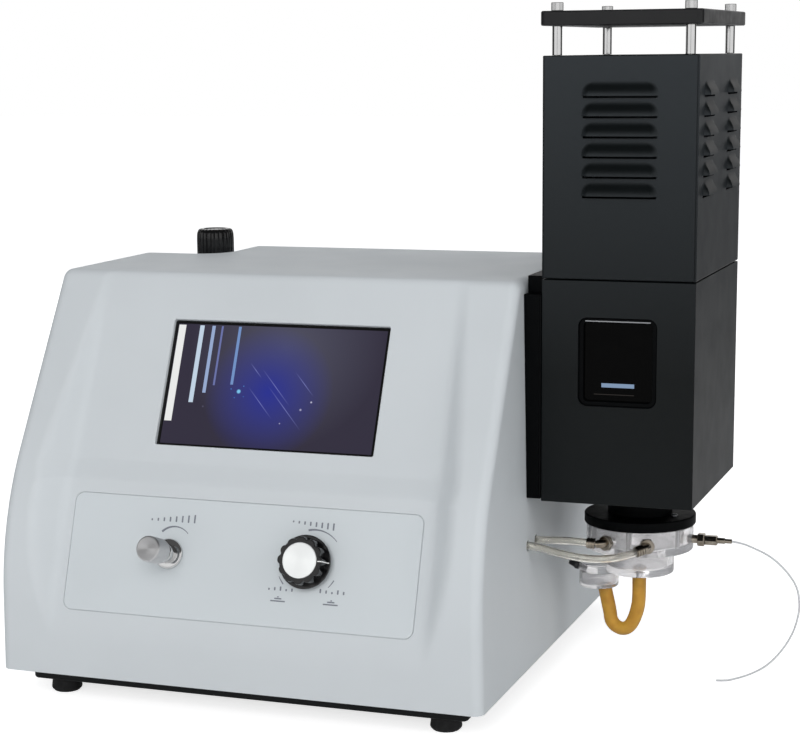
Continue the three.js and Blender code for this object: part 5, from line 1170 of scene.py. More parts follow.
def arc_form(x, y, radius, start, end, width, low, high, steps=sides.small):
    """A printed arc that grows from a thin tail to its full width."""
    inside, outside = [], []
    for step in range(steps + 1):
        turn = degrees(start + (end - start) * step / steps)
        half = (marks.line + (width - marks.line) * step / steps) / 2
        way = Vector((math.cos(turn), math.sin(turn)))
        inside.append(Vector((x, y)) + way * (radius - half))
        outside.append(Vector((x, y)) + way * (radius + half))
    return prism(inside + outside[::-1], low, high)


def tick_bars():
    """Rows of ticks that grow by a step, from the start again after each cycle."""
    for x, pitch, y, climb, height, growth, count, cycle in marks.rows:
        for step in range(count):
            yield (x + pitch * step, y + climb * step, marks.tick,
                   height + growth * (step % cycle))


def make_marks():
    """Plain bars, dots and arcs where the real face is printed."""
    low, high = -fascia.edge / 2, marks.high
    forms = [arc_form(*arc, low, high) for arc in marks.arcs]
    forms += [prism(rectangle(x, y, x + width, y + height, min(width, height) / 3), low, high)
              for x, y, width, height in (*tick_bars(), *marks.bars)]
    forms += [prism(circle(radius, sides.small, x, y), low, high)
              for x, y, radius in marks.dots]
    dress(make("control_marks", gather(*forms), control_frame), print_ink, slot="pale_film")


make_screen()
make_marks()

# Valve knobs

needle_frame = slid(control_frame, needle.across, needle.rise)
gas_frame = slid(control_frame, gas.across, gas.rise)


def make_needle_valve():
    bezel = tube_ring([
        (needle.thread, gap, 0),
        (needle.bezel, gap, chamfer),
        (needle.bezel, needle.bezel_high, needle.bezel_round),
        (needle.boss, needle.bezel_high + chamfer, 0),
        (needle.boss, needle.boss_high, needle.boss_round),
        (needle.bore, needle.boss_high, nick.small),
        (needle.bore, needle.bezel_high + gap, 0),
        (needle.thread, needle.bezel_high + gap, 0),
    ])
    dress(make("needle_bezel", bezel, needle_frame), chrome, "needle_valve_bezel")
    knob = turned([
        (0, needle.spindle_end),
        (needle.spindle, needle.spindle_end, nick.usual),
        (needle.spindle, needle.knob_low, nick.small),
        (needle.knob, needle.knob_low, needle.foot_round),
        (needle.knob, needle.knob_high, needle.edge),
        (needle.knob - 2 * needle.edge, needle.knob_high - gap, nick.small),
        (0, needle.knob_high - needle.dish),
    ])
    dress(make("needle_knob_turned", knob, needle_frame), spun_chrome, "needle_valve_knob",
          body="needle_knob", slot="chrome")


def make_gas_knob():
    skirt = disc(gas.skirt, gas.skirt_low, gas.skirt_high, nick.usual, nick.soft, sides.full)
    levels = [(0, gas.skirt_high - gap)]
    levels += [(-gas.taper - inwards, gas.grip_high - drop) for inwards, drop in gas.brim]
    turn = Matrix.Rotation(marks.knob_turn, 4, "Z")
    grip = moved(tray(lambda grow: fluted(gas.grip + grow, gas.flute, gas.flutes), levels), turn)
    knob = make("gas_knob_body", skirt, gas_frame)
    add(knob, grip)
    cut(
        knob,
        disc(gas.nut_room, gas.skirt_low - overrun, gas.nut_room_high),
        disc(gas.spindle, gas.skirt_low, gas.spindle_high),
        disc(gas.cap + gap, gas.cap_low - gap, gas.grip_high + overrun),
    )
    dress(knob, gloss_black, "gas_knob", body="gas_knob", slot="black_plastic")
    dial = turned([
        (0, gas.cap_low),
        (gas.cap, gas.cap_low, nick.trace),
        (gas.cap, gas.cap_high, nick.round),
        (0, gas.cap_high),
    ], sides.full)
    dress(make("gas_knob_dial", dial, gas_frame), bright_disc, "gas_knob_cap", body="gas_knob",
          slot="aluminium")
    half, ridge, brim = gas.line, gas.grip + gap, gas.brim[-1][0]
    on_skirt = slab(grown(gas.grip, -half, gas.skirt - nick.soft, half, nick.small),
                    gas.skirt_high - chamfer, gas.skirt_high + gap, 0, nick.hair)
    on_top = slab(grown(gas.cap + gas.line_step, -half, ridge - gas.taper - brim, half,
                        nick.small), gas.grip_high - chamfer, gas.grip_high + gap, 0, nick.hair)
    inner = ridge - gas.line_depth
    foot_of_line = [(inner, -half), (ridge, -half), (ridge, half), (inner, half)]
    on_side = loft([
        [(x, y, gas.skirt_high - gap) for x, y in foot_of_line],
        [(x - gas.taper, y, gas.grip_high - brim) for x, y in foot_of_line],
        [(x - gas.taper - gas.line_step, y, gas.grip_high) for x, y in foot_of_line],
    ])
    pointer = moved(gather(on_skirt, on_top, on_side), turn)
    dress(make("gas_knob_pointer", pointer, gas_frame), white_ink, body="gas_knob",
          slot="pale_film")


make_needle_valve()
make_gas_knob()

# Pan and feet


def crosses(spots, radius, width, low, high):
    """The two halves of the cross slots in some screw heads."""
    across = [box((x - radius, y - width / 2, low), (x + radius, y + width / 2, high))
              for x, y in spots]
    along = [box((x - width / 2, y - radius, low), (x + width / 2, y + radius, high))
             for x, y in spots]
    return gather(*across), gather(*along)


def make_screws(name, matrix, spots, low, radius, height, slot_width, metal=None):
    """Domed screw heads with cross slots, standing on a face."""
    wall, crown = low + height * screw_shares.wall, radius * screw_shares.crown
    heads = [shifted(turned([
        (0, low), (radius, low, 0), (radius, wall, height * screw_shares.wall_round),
        (crown, low + height, height * screw_shares.crown_round), (0, low + height),
    ], sides.slim), x, y) for x, y in spots]
    screws = make(name, gather(*heads), matrix)
    cut(screws, *crosses(spots, crown, slot_width, wall, low + height + overrun))
    dress(screws, metal or steel, slot="steel")


def make_pan():
    rim = slab(grown(pan.rim_inset - shell.width, pan.rim_inset, -pan.rim_inset, pan.rim_back,
                     shell.edge), pan.rim_low, pan.rim_low + pan.sheet, nick.fine, nick.fine)
    high = pan.rim_low + pan.sheet - gap
    body = slab(grown(pan.left, pan.front, pan.right, pan.back, pan.corner), pan.low, high,
                pan.bend)
    plate = make("pan", rim)
    add(plate, body)
    inside = slab(grown(pan.left + pan.sheet, pan.front + pan.sheet, pan.right - pan.sheet,
                        pan.back - pan.sheet, pan.corner - pan.sheet), pan.low + pan.sheet,
                  high + overrun, pan.bend / 2)
    rows = [pan.back - pan.slot_back - row * pan.slot_pitch for row in range(pan.slot_count)]
    cut(plate, inside, slots(shell.centre / 2, rows, pan.slot_length, pan.slot_width,
                             pan.low - overrun, pan.low + pan.sheet + overrun))
    dress(plate, black_paint, "base_plate")


def make_feet():
    for row, y in foot.rows:
        for side, x in foot.sides:
            name = f"foot_{row}_{side}"
            profile = turned([
                (0, foot.top),
                (foot.top_radius, foot.top, nick.soft),
                (foot.radius, foot.low + foot.edge, foot.edge),
                (foot.radius - foot.edge, foot.low, nick.wide),
                (foot.well, foot.low, nick.soft),
                (foot.well, foot.low + foot.well_depth, 0),
                (0, foot.low + foot.well_depth),
            ])
            dress(make(name + "_rubber", profile, upright(x, y)), black_rubber, name)
            under = frame_at((x, y, foot.low + foot.well_depth), ACROSS, (0, 0, -1))
            make_screws(name + "_screw", under, [(0, 0)], 0, foot.screw, foot.screw_height,
                        foot.slot)


make_pan()
make_feet()

# Rear panel and what it carries

rear_face = slid(rear_frame, 0, 0, -rear.sink)


def rear_screw_spots():
    left, right = rear.left + rear.screw_inset, rear.right - rear.screw_inset
    middle = (left + right) / 2
    low, high = rear.low + rear.screw_inset / 2, rear.low + rear.height - rear.screw_inset / 2
    return [(x, y) for x in (left, middle, right) for y in (low, high)]


def make_rear_panel():
    plate = make("rear_plate", slab(lambda grow: rear_outline(grow + rear.overlap),
                                    -rear.thickness, 0, nick.trace, nick.fine), rear_face)
    vents = [rear.vent_rise + row * rear.vent_pitch for row in range(rear.vent_count)]
    half, high = inlet.width / 2 - inlet.margin + gap, inlet.height / 2 - inlet.margin + gap
    cut(
        plate,
        slots(rear.vent_across, vents, rear.vent_length, rear.vent_width,
              -rear.thickness - overrun, overrun),
        box((inlet.across - half, inlet.rise - high, -overrun),
            (inlet.across + half, inlet.rise + high, overrun)),
        shifted(disc(union.shank + gap, -overrun, overrun), union.across, union.rise),
    )
    dress(plate, black_paint, "rear_panel")
    make_screws("rear_screws", rear_face, rear_screw_spots(), 0, rear.screw, rear.screw_height,
                rear.screw_slot, dark_screw)


inlet_frame = slid(rear_face, inlet.across, inlet.rise)


def inlet_socket(grow):
    """The socket's outline, with its two upper corners cut off as on real mains inlets."""
    half, high = inlet.socket_width / 2 + grow, inlet.socket_height / 2 + grow
    low, top = -inlet.socket_drop - high, -inlet.socket_drop + high
    cut_off = inlet.socket_radius
    corners = [
        (-half, low), (half, low), (half, top - cut_off), (half - cut_off, top),
        (cut_off - half, top), (-half, top - cut_off),
    ]
    return outline([(x, y, nick.full) for x, y in corners])


def make_inlet():
    half, high = inlet.width / 2, inlet.height / 2
    margin = inlet.margin
    housing = make("mains_socket", slab(grown(-half, -high, half, high, margin), gap,
                                        inlet.flange, 0, nick.round), inlet_frame)
    add(housing, slab(grown(margin - half, margin - high, half - margin, high - margin,
                            nick.full), gap - inlet.depth, 2 * gap))
    floor = inlet.flange - inlet.socket_depth
    well_floor = inlet.flange - inlet.well_depth
    pivot = moved(
        disc(inlet.pivot, -inlet.well_width / 2 - inlet.pivot_reach,
             inlet.well_width / 2 + inlet.pivot_reach),
        local((0, inlet.well_rise, inlet.flange - rocker.pivot_sink), BACK, ACROSS))
    cut(
        housing,
        tray(inlet_socket, [(0, floor), (0, inlet.flange - nick.soft),
                            (nick.soft, inlet.flange), (nick.soft, inlet.flange + overrun)]),
        box((-inlet.well_width / 2, inlet.well_rise - inlet.well_height / 2, well_floor),
            (inlet.well_width / 2, inlet.well_rise + inlet.well_height / 2,
             inlet.flange + overrun)),
        pivot,
    )
    dress(housing, black_plastic, "mains_inlet")
    pins = []
    for step in (-1, 0, 1):
        x = step * inlet.pin_pitch
        y = -inlet.socket_drop + (inlet.pin_step if step == 0 else -inlet.pin_step) / 2
        pins.append(slab(centred(x, y, inlet.pin_width, inlet.pin_height, nick.soft),
                         floor - gap, floor + inlet.pin_length, 0, nick.usual))
    dress(make("mains_pins", gather(*pins), inlet_frame), nickel)


def make_rocker():
    """The mains switch's paddle, tipped to one side, with a bar and a ring on it."""
    tip = Matrix.Rotation(-rocker.tilt, 4, "X")
    matrix = slid(inlet_frame, 0, inlet.well_rise, inlet.flange - rocker.pivot_sink) @ tip
    shares = [1 - 2 * step / rocker.steps for step in range(1, rocker.steps)]
    tip_height = rocker.pivot_sink + rocker.proud - rocker.tip_drop
    side = outline([
        (-rocker.root, -rocker.sink, nick.soft), (rocker.root, -rocker.sink, nick.soft),
        (rocker.crest, tip_height),
    ])
    side += [Vector((share * rocker.crest, rocker.pivot_sink + rocker.proud * share ** 2))
             for share in shares]
    side += [Vector((-rocker.crest, tip_height))]
    along = local((0, 0, 0), BACK, ACROSS)
    paddle = make("power_paddle", moved(prism(side, -rocker.half_width, rocker.half_width), along),
                  matrix)
    soften(paddle, nick.small)
    reach = rocker.half_width + rocker.pin_reach
    add(paddle, moved(disc(rocker.pin, -reach, reach), along))
    dress(paddle, black_plastic, "power_rocker", body="power_rocker")
    low = rocker.pivot_sink + rocker.proud * (rocker.mark_rise / rocker.crest) ** 2
    slope = math.atan2(2 * rocker.proud * rocker.mark_rise, rocker.crest ** 2)
    bar = slab(grown(-rocker.mark, -rocker.bar, rocker.mark, rocker.bar, nick.trace),
               -rocker.mark_sink, rocker.mark_proud)
    inner, ends = rocker.mark - rocker.mark_line, (-rocker.mark_sink, rocker.mark_proud)
    ring = tube_ring([
        (inner, ends[0]), (rocker.mark, ends[0]), (rocker.mark, ends[1]), (inner, ends[1]),
    ], sides.slim)
    forms = [
        moved(form, Matrix.Translation((0, way * rocker.mark_rise, low))
              @ Matrix.Rotation(way * slope, 4, "X"))
        for form, way in ((bar, 1), (ring, -1))
    ]
    dress(make("power_marks", gather(*forms), matrix), white_ink, body="power_rocker",
          slot="pale_film")


def make_gas_inlet():
    place_here = slid(rear_face, union.across, union.rise)
    nut_back = -rear.thickness - 2 * gap - union.inner_nut
    step = union.barb_length / union.barbs
    ridges = []
    for index in range(union.barbs):
        start = union.nut_high + index * step
        ridges += [(union.barb - union.lip, start),
                   (union.barb, start + step * union.crest_share),
                   (union.barb - union.lip, start + step)]
    profile = lathe([
        (union.bore, nut_back - union.tail), (union.tail_radius, nut_back - union.tail),
        (union.tail_radius, nut_back), (union.shank, nut_back), (union.shank, union.nut_high - gap),
        *ridges, (union.bore, union.nut_high + union.barb_length),
    ], sides.usual, closed=True)
    fitting_piece = make("gas_union", profile, place_here)
    bore = drill(union.shank - union.wall, nut_back, union.nut_high)
    for nut_low, nut_end in ((gap, union.nut_high), (nut_back, nut_back + union.inner_nut)):
        collar = make("tool", hexagon(union.nut, nut_low, nut_end), place_here)
        cut(collar, bore)
        combine(fitting_piece, "UNION", [collar])
    dress(fitting_piece, brass, "gas_inlet")


make_rear_panel()
make_inlet()
make_rocker()
make_gas_inlet()

# Filter regulator in the shell's rear left notch

regulator_frame = upright(regulator.x, regulator.y)


def make_regulator():
    half = regulator.width / 2
    block = make("regulator_block", slab(grown(-half, -half, half, half, regulator.corner),
                                         regulator.low, regulator.high, nick.soft, nick.soft),
                 regulator_frame)
    forwards = local((0, 0, regulator.port_rise), ACROSS, (0, -1, 0))
    backwards = local((0, 0, regulator.port_rise), (-1, 0, 0), BACK)
    port_end = half + regulator.port_length
    well_floor = regulator.high - regulator.well_depth
    add(
        block,
        moved(disc(regulator.barb, half - gap, half + regulator.barb_length, 0, nick.small),
              forwards),
        moved(disc(regulator.port, half - regulator.port_root, port_end, 0, nick.usual),
              backwards),
    )
    cut(
        block,
        moved(disc(regulator.bore, 0, half + regulator.barb_length + overrun), forwards),
        moved(disc(regulator.port_bore, half - regulator.port_depth, port_end + overrun),
              backwards),
        moved(disc(regulator.bore, -overrun, half), backwards),
        disc(regulator.well, well_floor, regulator.high + overrun),
        drill(regulator.bore, regulator.port_rise, well_floor),
    )
    dress(block, cast_aluminium, "regulator_body", slot="aluminium")

    nose_high = regulator.bowl_low + regulator.bowl_nose
    wall = regulator.bowl_wall
    bowl = turned([
        (0, regulator.bowl_low),
        (regulator.bowl_nose_radius, regulator.bowl_low, nick.full),
        (regulator.bowl_nose_radius, nose_high - wall, nick.full),
        (regulator.bowl, nose_high + wall, regulator.bowl_round),
        (regulator.bowl, regulator.low - gap, nick.small),
        (regulator.bowl - wall, regulator.low - gap, nick.small),
        (regulator.bowl - wall, nose_high + 2 * wall, regulator.bowl_inner_round),
        (0, nose_high + wall),
    ])
    dress(make("regulator_cup", bowl, regulator_frame), clear_acrylic, "regulator_bowl")

    plate_low = regulator.high + gap
    plate_high = plate_low + regulator.bracket_sheet
    side, half = regulator.bracket_side, regulator.bracket_width / 2
    sheet = regulator.bracket_sheet
    profile = outline([
        (-regulator.bonnet, plate_low), (side - sheet, plate_low, nick.full),
        (side - sheet, plate_high - regulator.bracket_height),
        (side, plate_high - regulator.bracket_height),
        (side, plate_high, regulator.bracket_bend), (-regulator.bonnet, plate_high),
    ])
    along = Matrix.Rotation(math.pi / 2, 4, "X")
    bracket = make("regulator_plate", moved(prism(profile, -half, half), along), regulator_frame)
    soften(bracket, nick.small)
    cut(bracket, drill(regulator.bracket_hole, plate_low, plate_high))
    dress(bracket, steel, "regulator_bracket")

    shoulder = plate_high + gap
    shoulder_high = shoulder + regulator.shoulder
    screw_hole = regulator.screw + regulator.screw_play
    bonnet = tube_ring([
        (regulator.well, plate_low), (regulator.neck, plate_low), (regulator.neck, shoulder),
        (regulator.bonnet, shoulder, nick.soft), (regulator.bonnet, shoulder_high, nick.broad),
        (regulator.bonnet_top, regulator.bonnet_high, nick.full),
        (screw_hole, regulator.bonnet_high, nick.small), (screw_hole, shoulder_high),
        (regulator.well, shoulder),
    ])
    dress(make("regulator_dome", bonnet, regulator_frame), black_plastic, "regulator_bonnet")

    foot_low = well_floor + play
    foot_high = foot_low + regulator.screw_foot_high
    spindle = turned([
        (0, foot_low), (regulator.screw_foot, foot_low, nick.usual),
        (regulator.screw_foot, foot_high, nick.usual), (regulator.screw, foot_high),
        (regulator.screw, regulator.bonnet_high, 0), (0, regulator.bonnet_high),
    ])
    spindle_piece = make("regulator_spindle", spindle, regulator_frame)
    add(spindle_piece, hexagon(regulator.screw, regulator.bonnet_high - gap, regulator.screw_high))
    dress(spindle_piece, brass, "regulator_screw", body="regulator_screw")


def make_regulator_knob():
    low, high = regulator.knob_low, regulator.knob_high
    levels = [(0, low)]
    levels += [(-inwards, high - drop) for inwards, drop in regulator.crown]
    knob = make("regulator_cap", tray(
        lambda grow: fluted(regulator.knob + grow, regulator.rib, regulator.ribs, bends.usual),
        levels), regulator_frame)
    inside = regulator.knob - regulator.rib - regulator.knob_wall
    hub, lid = regulator.screw + regulator.hub_wall, high - regulator.lid
    cut(
        knob,
        lathe([(hub, low - overrun), (inside, low - overrun), (inside, lid), (hub, lid)],
              closed=True),
        hexagon(regulator.screw + regulator.screw_play, low - overrun,
                regulator.screw_high + play),
        disc(regulator.knob - regulator.dish_rim, high - regulator.dish_depth, high + overrun),
    )
    dress(knob, gloss_black, "regulator_knob", body="regulator_knob", slot="black_plastic")


make_regulator()
make_regulator_knob()

# Tower


def facing_front(x, y, z):
    return frame_at((x, y, z), ACROSS, (0, -1, 0))


def towards_front(x, y, z):
    return local((x, y, z), ACROSS, (0, -1, 0))


def along_x(x, y, z):
    return local((x, y, z), BACK, ACROSS)


def tower_outline(inset, radius, steps=bends.usual):
    return lambda grow: rectangle(tower.left + inset - grow, tower.front + inset - grow,
                                  tower.right - inset + grow, tower.back - inset + grow,
                                  max(radius + grow, gap / 2), steps)


def fold_lines(low, high):
    """Narrow grooves where the folded side sheets meet the front and back ones."""
    half = tower.fold_width / 2
    return gather(*(
        box((x - half, y - tower.fold_depth, low), (x + half, y + tower.fold_depth, high))
        for x in (tower.left + tower.fold, tower.right - tower.fold)
        for y in (tower.front, tower.back)
    ))


def light_hole(radius, left, right):
    return moved(disc(radius, left, right), along_x(0, axis.y, optics.rise))


def make_bridge():
    corners = [
        (bridge.front, bridge.low), (bridge.back, bridge.low), (bridge.back, bridge.high),
        (bridge.shoulder_back, bridge.high), (bridge.shoulder_back, bridge.shoulder),
        (bridge.front, bridge.shoulder),
    ]
    left = [(gap - shell.draft_share * z, y, z) for y, z in corners]
    right = [(tower.left - gap, y, z) for y, z in corners]
    block = make("bridge", loft([left, right]))
    soften(block, nick.soft)
    half = bridge.groove / 2
    cut(
        block,
        light_hole(optics.spigot, -4 * overrun, tower.left + overrun),
        box((bridge.groove_at - half, bridge.front - overrun, bridge.low - overrun),
            (bridge.groove_at + half, bridge.front + bridge.groove, bridge.shoulder + overrun)),
    )
    dress(block, dull_shaded_black, "tower_bridge", slot="black_paint")


def window_outline(inset):
    return lambda grow: rectangle(
        inset - window.width / 2 - grow, inset - grow, window.width / 2 - inset + grow,
        window.height - inset + grow, max(window.radius - inset, window.lip) + grow,
        bends.many)


def make_housing():
    walls = make("burner_box", slab(tower_outline(0, tower.edge), tower.bottom, tower.seam,
                                    tower.edge, nick.usual))
    sight = towards_front(axis.x, tower.front, window.low)
    cut(
        walls,
        slab(tower_outline(tower.sheet, nick.small), tower.bottom + tower.sheet,
             tower.seam - tower.sheet),
        slab(tower_outline(tower.seam_lip, tower.edge), tower.seam - 2 * tower.sheet,
             tower.seam + overrun),
        moved(slab(window_outline(0), -tower.sheet - overrun, overrun), sight),
        light_hole(optics.bore, tower.left - overrun, tower.left + tower.sheet + overrun),
        shifted(disc(flange.spigot + play, tower.bottom - overrun, tower.bottom + 2 * tower.sheet),
                axis.x, axis.y),
        shifted(disc(spark_hole.radius, tower.bottom - overrun, tower.bottom + 2 * tower.sheet),
                axis.x + spark_hole.across, axis.y + spark_hole.back),
    )
    dress(walls, tower_paint, "burner_housing", slot="black_paint")

    sight_frame = facing_front(axis.x, tower.front, window.low)
    back = -window.setback - window.depth
    frame_piece = make("window_bezel", slab(window_outline(window.fit), back, -window.setback,
                                            nick.fine, window.soft), sight_frame)
    lip_front = -tower.sheet - gap
    add(frame_piece, slab(window_outline(-window.lip_width), lip_front - window.lip, lip_front,
                          nick.trace, nick.trace))
    inner = window_outline(window.wall)
    levels = [(0, back - overrun), (0, -window.setback - window.soft)]
    levels += [(window.soft * (1 - math.cos(turn)),
                -window.setback - window.soft * (1 - math.sin(turn)))
               for turn in (math.pi / 2 * step / bends.few for step in range(1, bends.few + 1))]
    levels += [(window.soft, overrun)]
    pocket = window_outline(window.wall - window.lip)
    cut(
        frame_piece,
        tray(inner, levels),
        slab(pocket, back - overrun, -window.glass_setback),
    )
    dress(frame_piece, dull_shaded_black, "window_frame", slot="black_plastic")
    # A bright steel strip along the top of the opening: a painted highlight, made as a piece, where
    # the top bevel catches light
    trim = slab(grown(*window.trim, nick.usual), -window.setback - window.trim_sink,
                -window.setback + window.trim_proud, 0, nick.fine)
    dress(make("window_highlight_strip", trim, sight_frame), steel)
    pane = slab(window_outline(window.wall - window.lip + window.fit / 2),
                -window.glass_setback - gap - window.glass, -window.glass_setback - gap, gap, gap)
    dress(make("window_pane", pane, sight_frame), make_window_glass(), "window_glass",
          slot="dark_glass")


def make_window_glass():
    """Dark glass with painted light on it: a pale glowing bar low down and a faint grey line below
    it.
    """
    material, tree = new_material("window_tint")
    where = node(tree, "SeparateXYZ", Vector=node(tree, "TexCoord").outputs["Object"])
    shade = grey(0)
    for left, low, right, high, tone in window.gleams:
        share = rectangle_share(tree, where, left, low, right, high)
        shade = mixed(tree, share, shade, linear(*tone))
    gloss = ranged(tree, noise(tree, window.patch, 4), *window.gloss)
    surface = node(tree, "BsdfPrincipled", Base_Color=grey(window.tone), Roughness=gloss,
                   Specular_IOR_Level=0.04, Emission_Color=shade, Emission_Strength=1.0)
    show(tree, surface)
    return material


def smooth_step(share):
    return share * share * (3 - 2 * share)


def louvre_form(width, sheet):
    """One pressed louvre with X along it, Y up and Z out of the wall."""
    height, bulge = louvre.height - sheet, louvre.bulge - sheet
    low = -tower.sheet if sheet else 0
    sink = tower.sheet + overrun if sheet else tower.sheet / 2
    rings = []
    for step in range(louvre.steps + 1):
        share = step / louvre.steps
        drawn_in = 1 - math.sqrt(1 - share * share * louvre.arc_share)
        half = width / 2 - sheet - louvre.radius * drawn_in
        out = bulge * (1 - smooth_step(share ** louvre.crown_power))
        y = share * height if step else low
        corner = [
            (louvre.end * part / louvre.round_steps,
             louvre.step + out * smooth_step((part / louvre.round_steps) ** louvre.end_power))
            for part in range(louvre.round_steps + 1)
        ]
        left = [(x - half, z) for x, z in corner]
        section = [(-half, -sink), *left, *((-x, z) for x, z in left[::-1]), (half, -sink)]
        rings.append([(x, y, z) for x, z in section])
    return loft(rings)


def louvre_places():
    reach = louvre.side_inset + louvre.side_width / 2
    for row in range(louvre.rows):
        z = louvre.lowest + row * louvre.pitch
        yield louvre.front_width, towards_front(axis.x, tower.front, z)
        for y in (tower.front + reach, tower.back - reach):
            yield louvre.side_width, local((tower.right, y, z), BACK, ACROSS)
            yield louvre.side_width, local((tower.left, y, z), (0, -1, 0), (-1, 0, 0))


rod_places = [
    (f"tie_rod_{row}_{side}", x, y)
    for row, y in (("front", tower.front + rod.inset_y), ("rear", tower.back - rod.inset_y))
    for side, x in (("left", tower.left + rod.inset_x), ("right", tower.right - rod.inset_x))
]


def make_chimney():
    low = tower.seam + tower.seam_gap
    walls = make("louvred_box", slab(tower_outline(0, tower.edge), low, tower.top, nick.full,
                                     tower.edge))
    cut(
        walls,
        slab(tower_outline(tower.sheet, nick.small), low - overrun, tower.top - tower.sheet),
        slab(tower_outline(tower.lip, tower.edge), tower.top - 2 * tower.sheet,
             tower.top + overrun),
        fold_lines(low - overrun, tower.top + overrun),
    )
    hoods = gather(*(moved(louvre_form(width, 0), matrix) for width, matrix in louvre_places()))
    mouths = gather(*(moved(louvre_form(width, louvre.sheet), matrix)
                      for width, matrix in louvre_places()))
    add(walls, hoods)
    cut(walls, mouths, gather(*(
        shifted(disc(rod.hole, tower.top - 2 * tower.sheet, tower.top + overrun), x, y)
        for _, x, y in rod_places)))
    dress(walls, tower_paint, "chimney", slot="black_paint", sharp=sharp_from.louvres)


def make_baffle():
    outline_at = grown(tower.left - baffle.side, tower.front - baffle.front,
                       tower.right + baffle.side, tower.back + baffle.front, baffle.corner,
                       bends.many)
    plate = make("top_plate", slab(outline_at, baffle.low, baffle.high, baffle.edge, baffle.edge))
    cut(plate, gather(*(shifted(drill(rod.hole, baffle.low, baffle.high), x, y)
                        for _, x, y in rod_places)))
    dress(plate, satin_black, "baffle_plate", slot="black_paint")


def make_rods():
    nut_high = tower.top - tower.sheet - gap
    head_low = baffle.high + gap
    head_high = head_low + rod.head_high
    for name, x, y in rod_places:
        shaft = turned([
            (0, nut_high - rod.nut_high), (rod.shank, nut_high - rod.nut_high),
            (rod.shank, tower.top + gap), (rod.radius, tower.top + gap, nick.small),
            (rod.radius, baffle.low - gap, nick.small), (rod.shank, baffle.low - gap),
            (rod.shank, head_low + rod.root), (0, head_low + rod.root),
        ], sides.usual)
        piece = make(name + "_turned", shaft, upright(x, y))
        head = slab(lambda grow: fluted(rod.head + grow, rod.rib, rod.ribs, bends.few),
                    head_low, head_high, nick.small, nick.usual)
        add(piece, head, hexagon(rod.nut, nut_high - rod.nut_high, nut_high))
        socket = prism(circle(rod.socket, 6), head_high - rod.socket_depth, head_high + overrun)
        cut(piece, socket)
        dress(piece, chrome, name)


make_bridge()
make_housing()
make_chimney()
make_baffle()
make_rods()

# Flange, clear chamber and what hangs under it

burner_frame = upright(axis.x, axis.y)


def make_flange():
    ring = tube_ring([
        (flange.bore, flange.low), (flange.radius, flange.low, flange.edge),
        (flange.radius, flange.high, flange.edge), (flange.collar, flange.high, nick.usual),
        (flange.collar, tower.bottom - gap, nick.small), (flange.spigot, tower.bottom - gap),
        (flange.spigot, flange.spigot_high, nick.soft),
        (flange.bore, flange.spigot_high, nick.small),
    ], sides.full)
    dress(make("chamber_lid", ring, burner_frame), dull_shaded_black, "burner_flange",
          slot="black_paint")
    make_screws("lid_screw", console_frame, [flange.screw_at], flange.high, flange.screw,
                flange.screw_high, flange.screw_slot)


def around_axis(turn, rise):
    way = (math.sin(turn), -math.cos(turn), 0)
    return local((axis.x, axis.y, rise), (math.cos(turn), math.sin(turn), 0), way)


def make_chamber():
    inside, high = chamber.radius - chamber.wall, flange.low - gap
    body = make("clear_chamber", tube_ring([
        (chamber.drain, chamber.low, nick.small), (chamber.radius, chamber.low, chamber.edge),
        (chamber.radius, high, chamber.edge), (inside, high, nick.small),
        (inside, chamber.low + chamber.floor, nick.full),
        (chamber.drain, chamber.low + chamber.floor, nick.small),
    ], sides.full), burner_frame)
    away = Matrix.Translation((-axis.x, -axis.y, 0))
    ports = [
        moved(drill(chamber.port, inside, chamber.radius),
              away @ around_axis(turn, rise))
        for turn, rise in ((fitting.air_turn, chamber.rise), (fitting.gas_turn, chamber.rise),
                           (math.pi / 2, nebuliser.rise))
    ]
    spots = []
    for index in range(chamber.bolts):
        turn = 2 * math.pi * (index + 0.5) / chamber.bolts
        spots.append((chamber.bolt_circle * math.cos(turn), chamber.bolt_circle * math.sin(turn)))
    holes = gather(*(shifted(disc(chamber.bolt + play, high - chamber.bolt_depth, high + overrun),
                             x, y) for x, y in spots))
    cut(body, holes, *ports)
    dress(body, clear_acrylic, "mixing_chamber")
    bolt_low = high - chamber.bolt_depth + chamber.bolt_room
    bolts = gather(*(shifted(disc(chamber.bolt, bolt_low, high, nick.usual), x, y)
                     for x, y in spots))
    dress(make("chamber_bolts", bolts, burner_frame), steel)

    wall = cup.radius - cup.wall
    cup_form = tube_ring([
        (cup.bore, cup.nipple_low), (cup.nipple, cup.nipple_low, nick.small),
        (cup.nipple, cup.low, 0), (cup.radius, cup.low, cup.edge),
        (cup.radius, chamber.low - gap, nick.small), (wall, chamber.low - gap, nick.small),
        (wall, cup.low + cup.floor, nick.broad),
        (cup.bore, cup.low + cup.floor),
    ], sides.wide)
    dress(make("clear_cup", cup_form, burner_frame), clear_acrylic, "drain_cup")


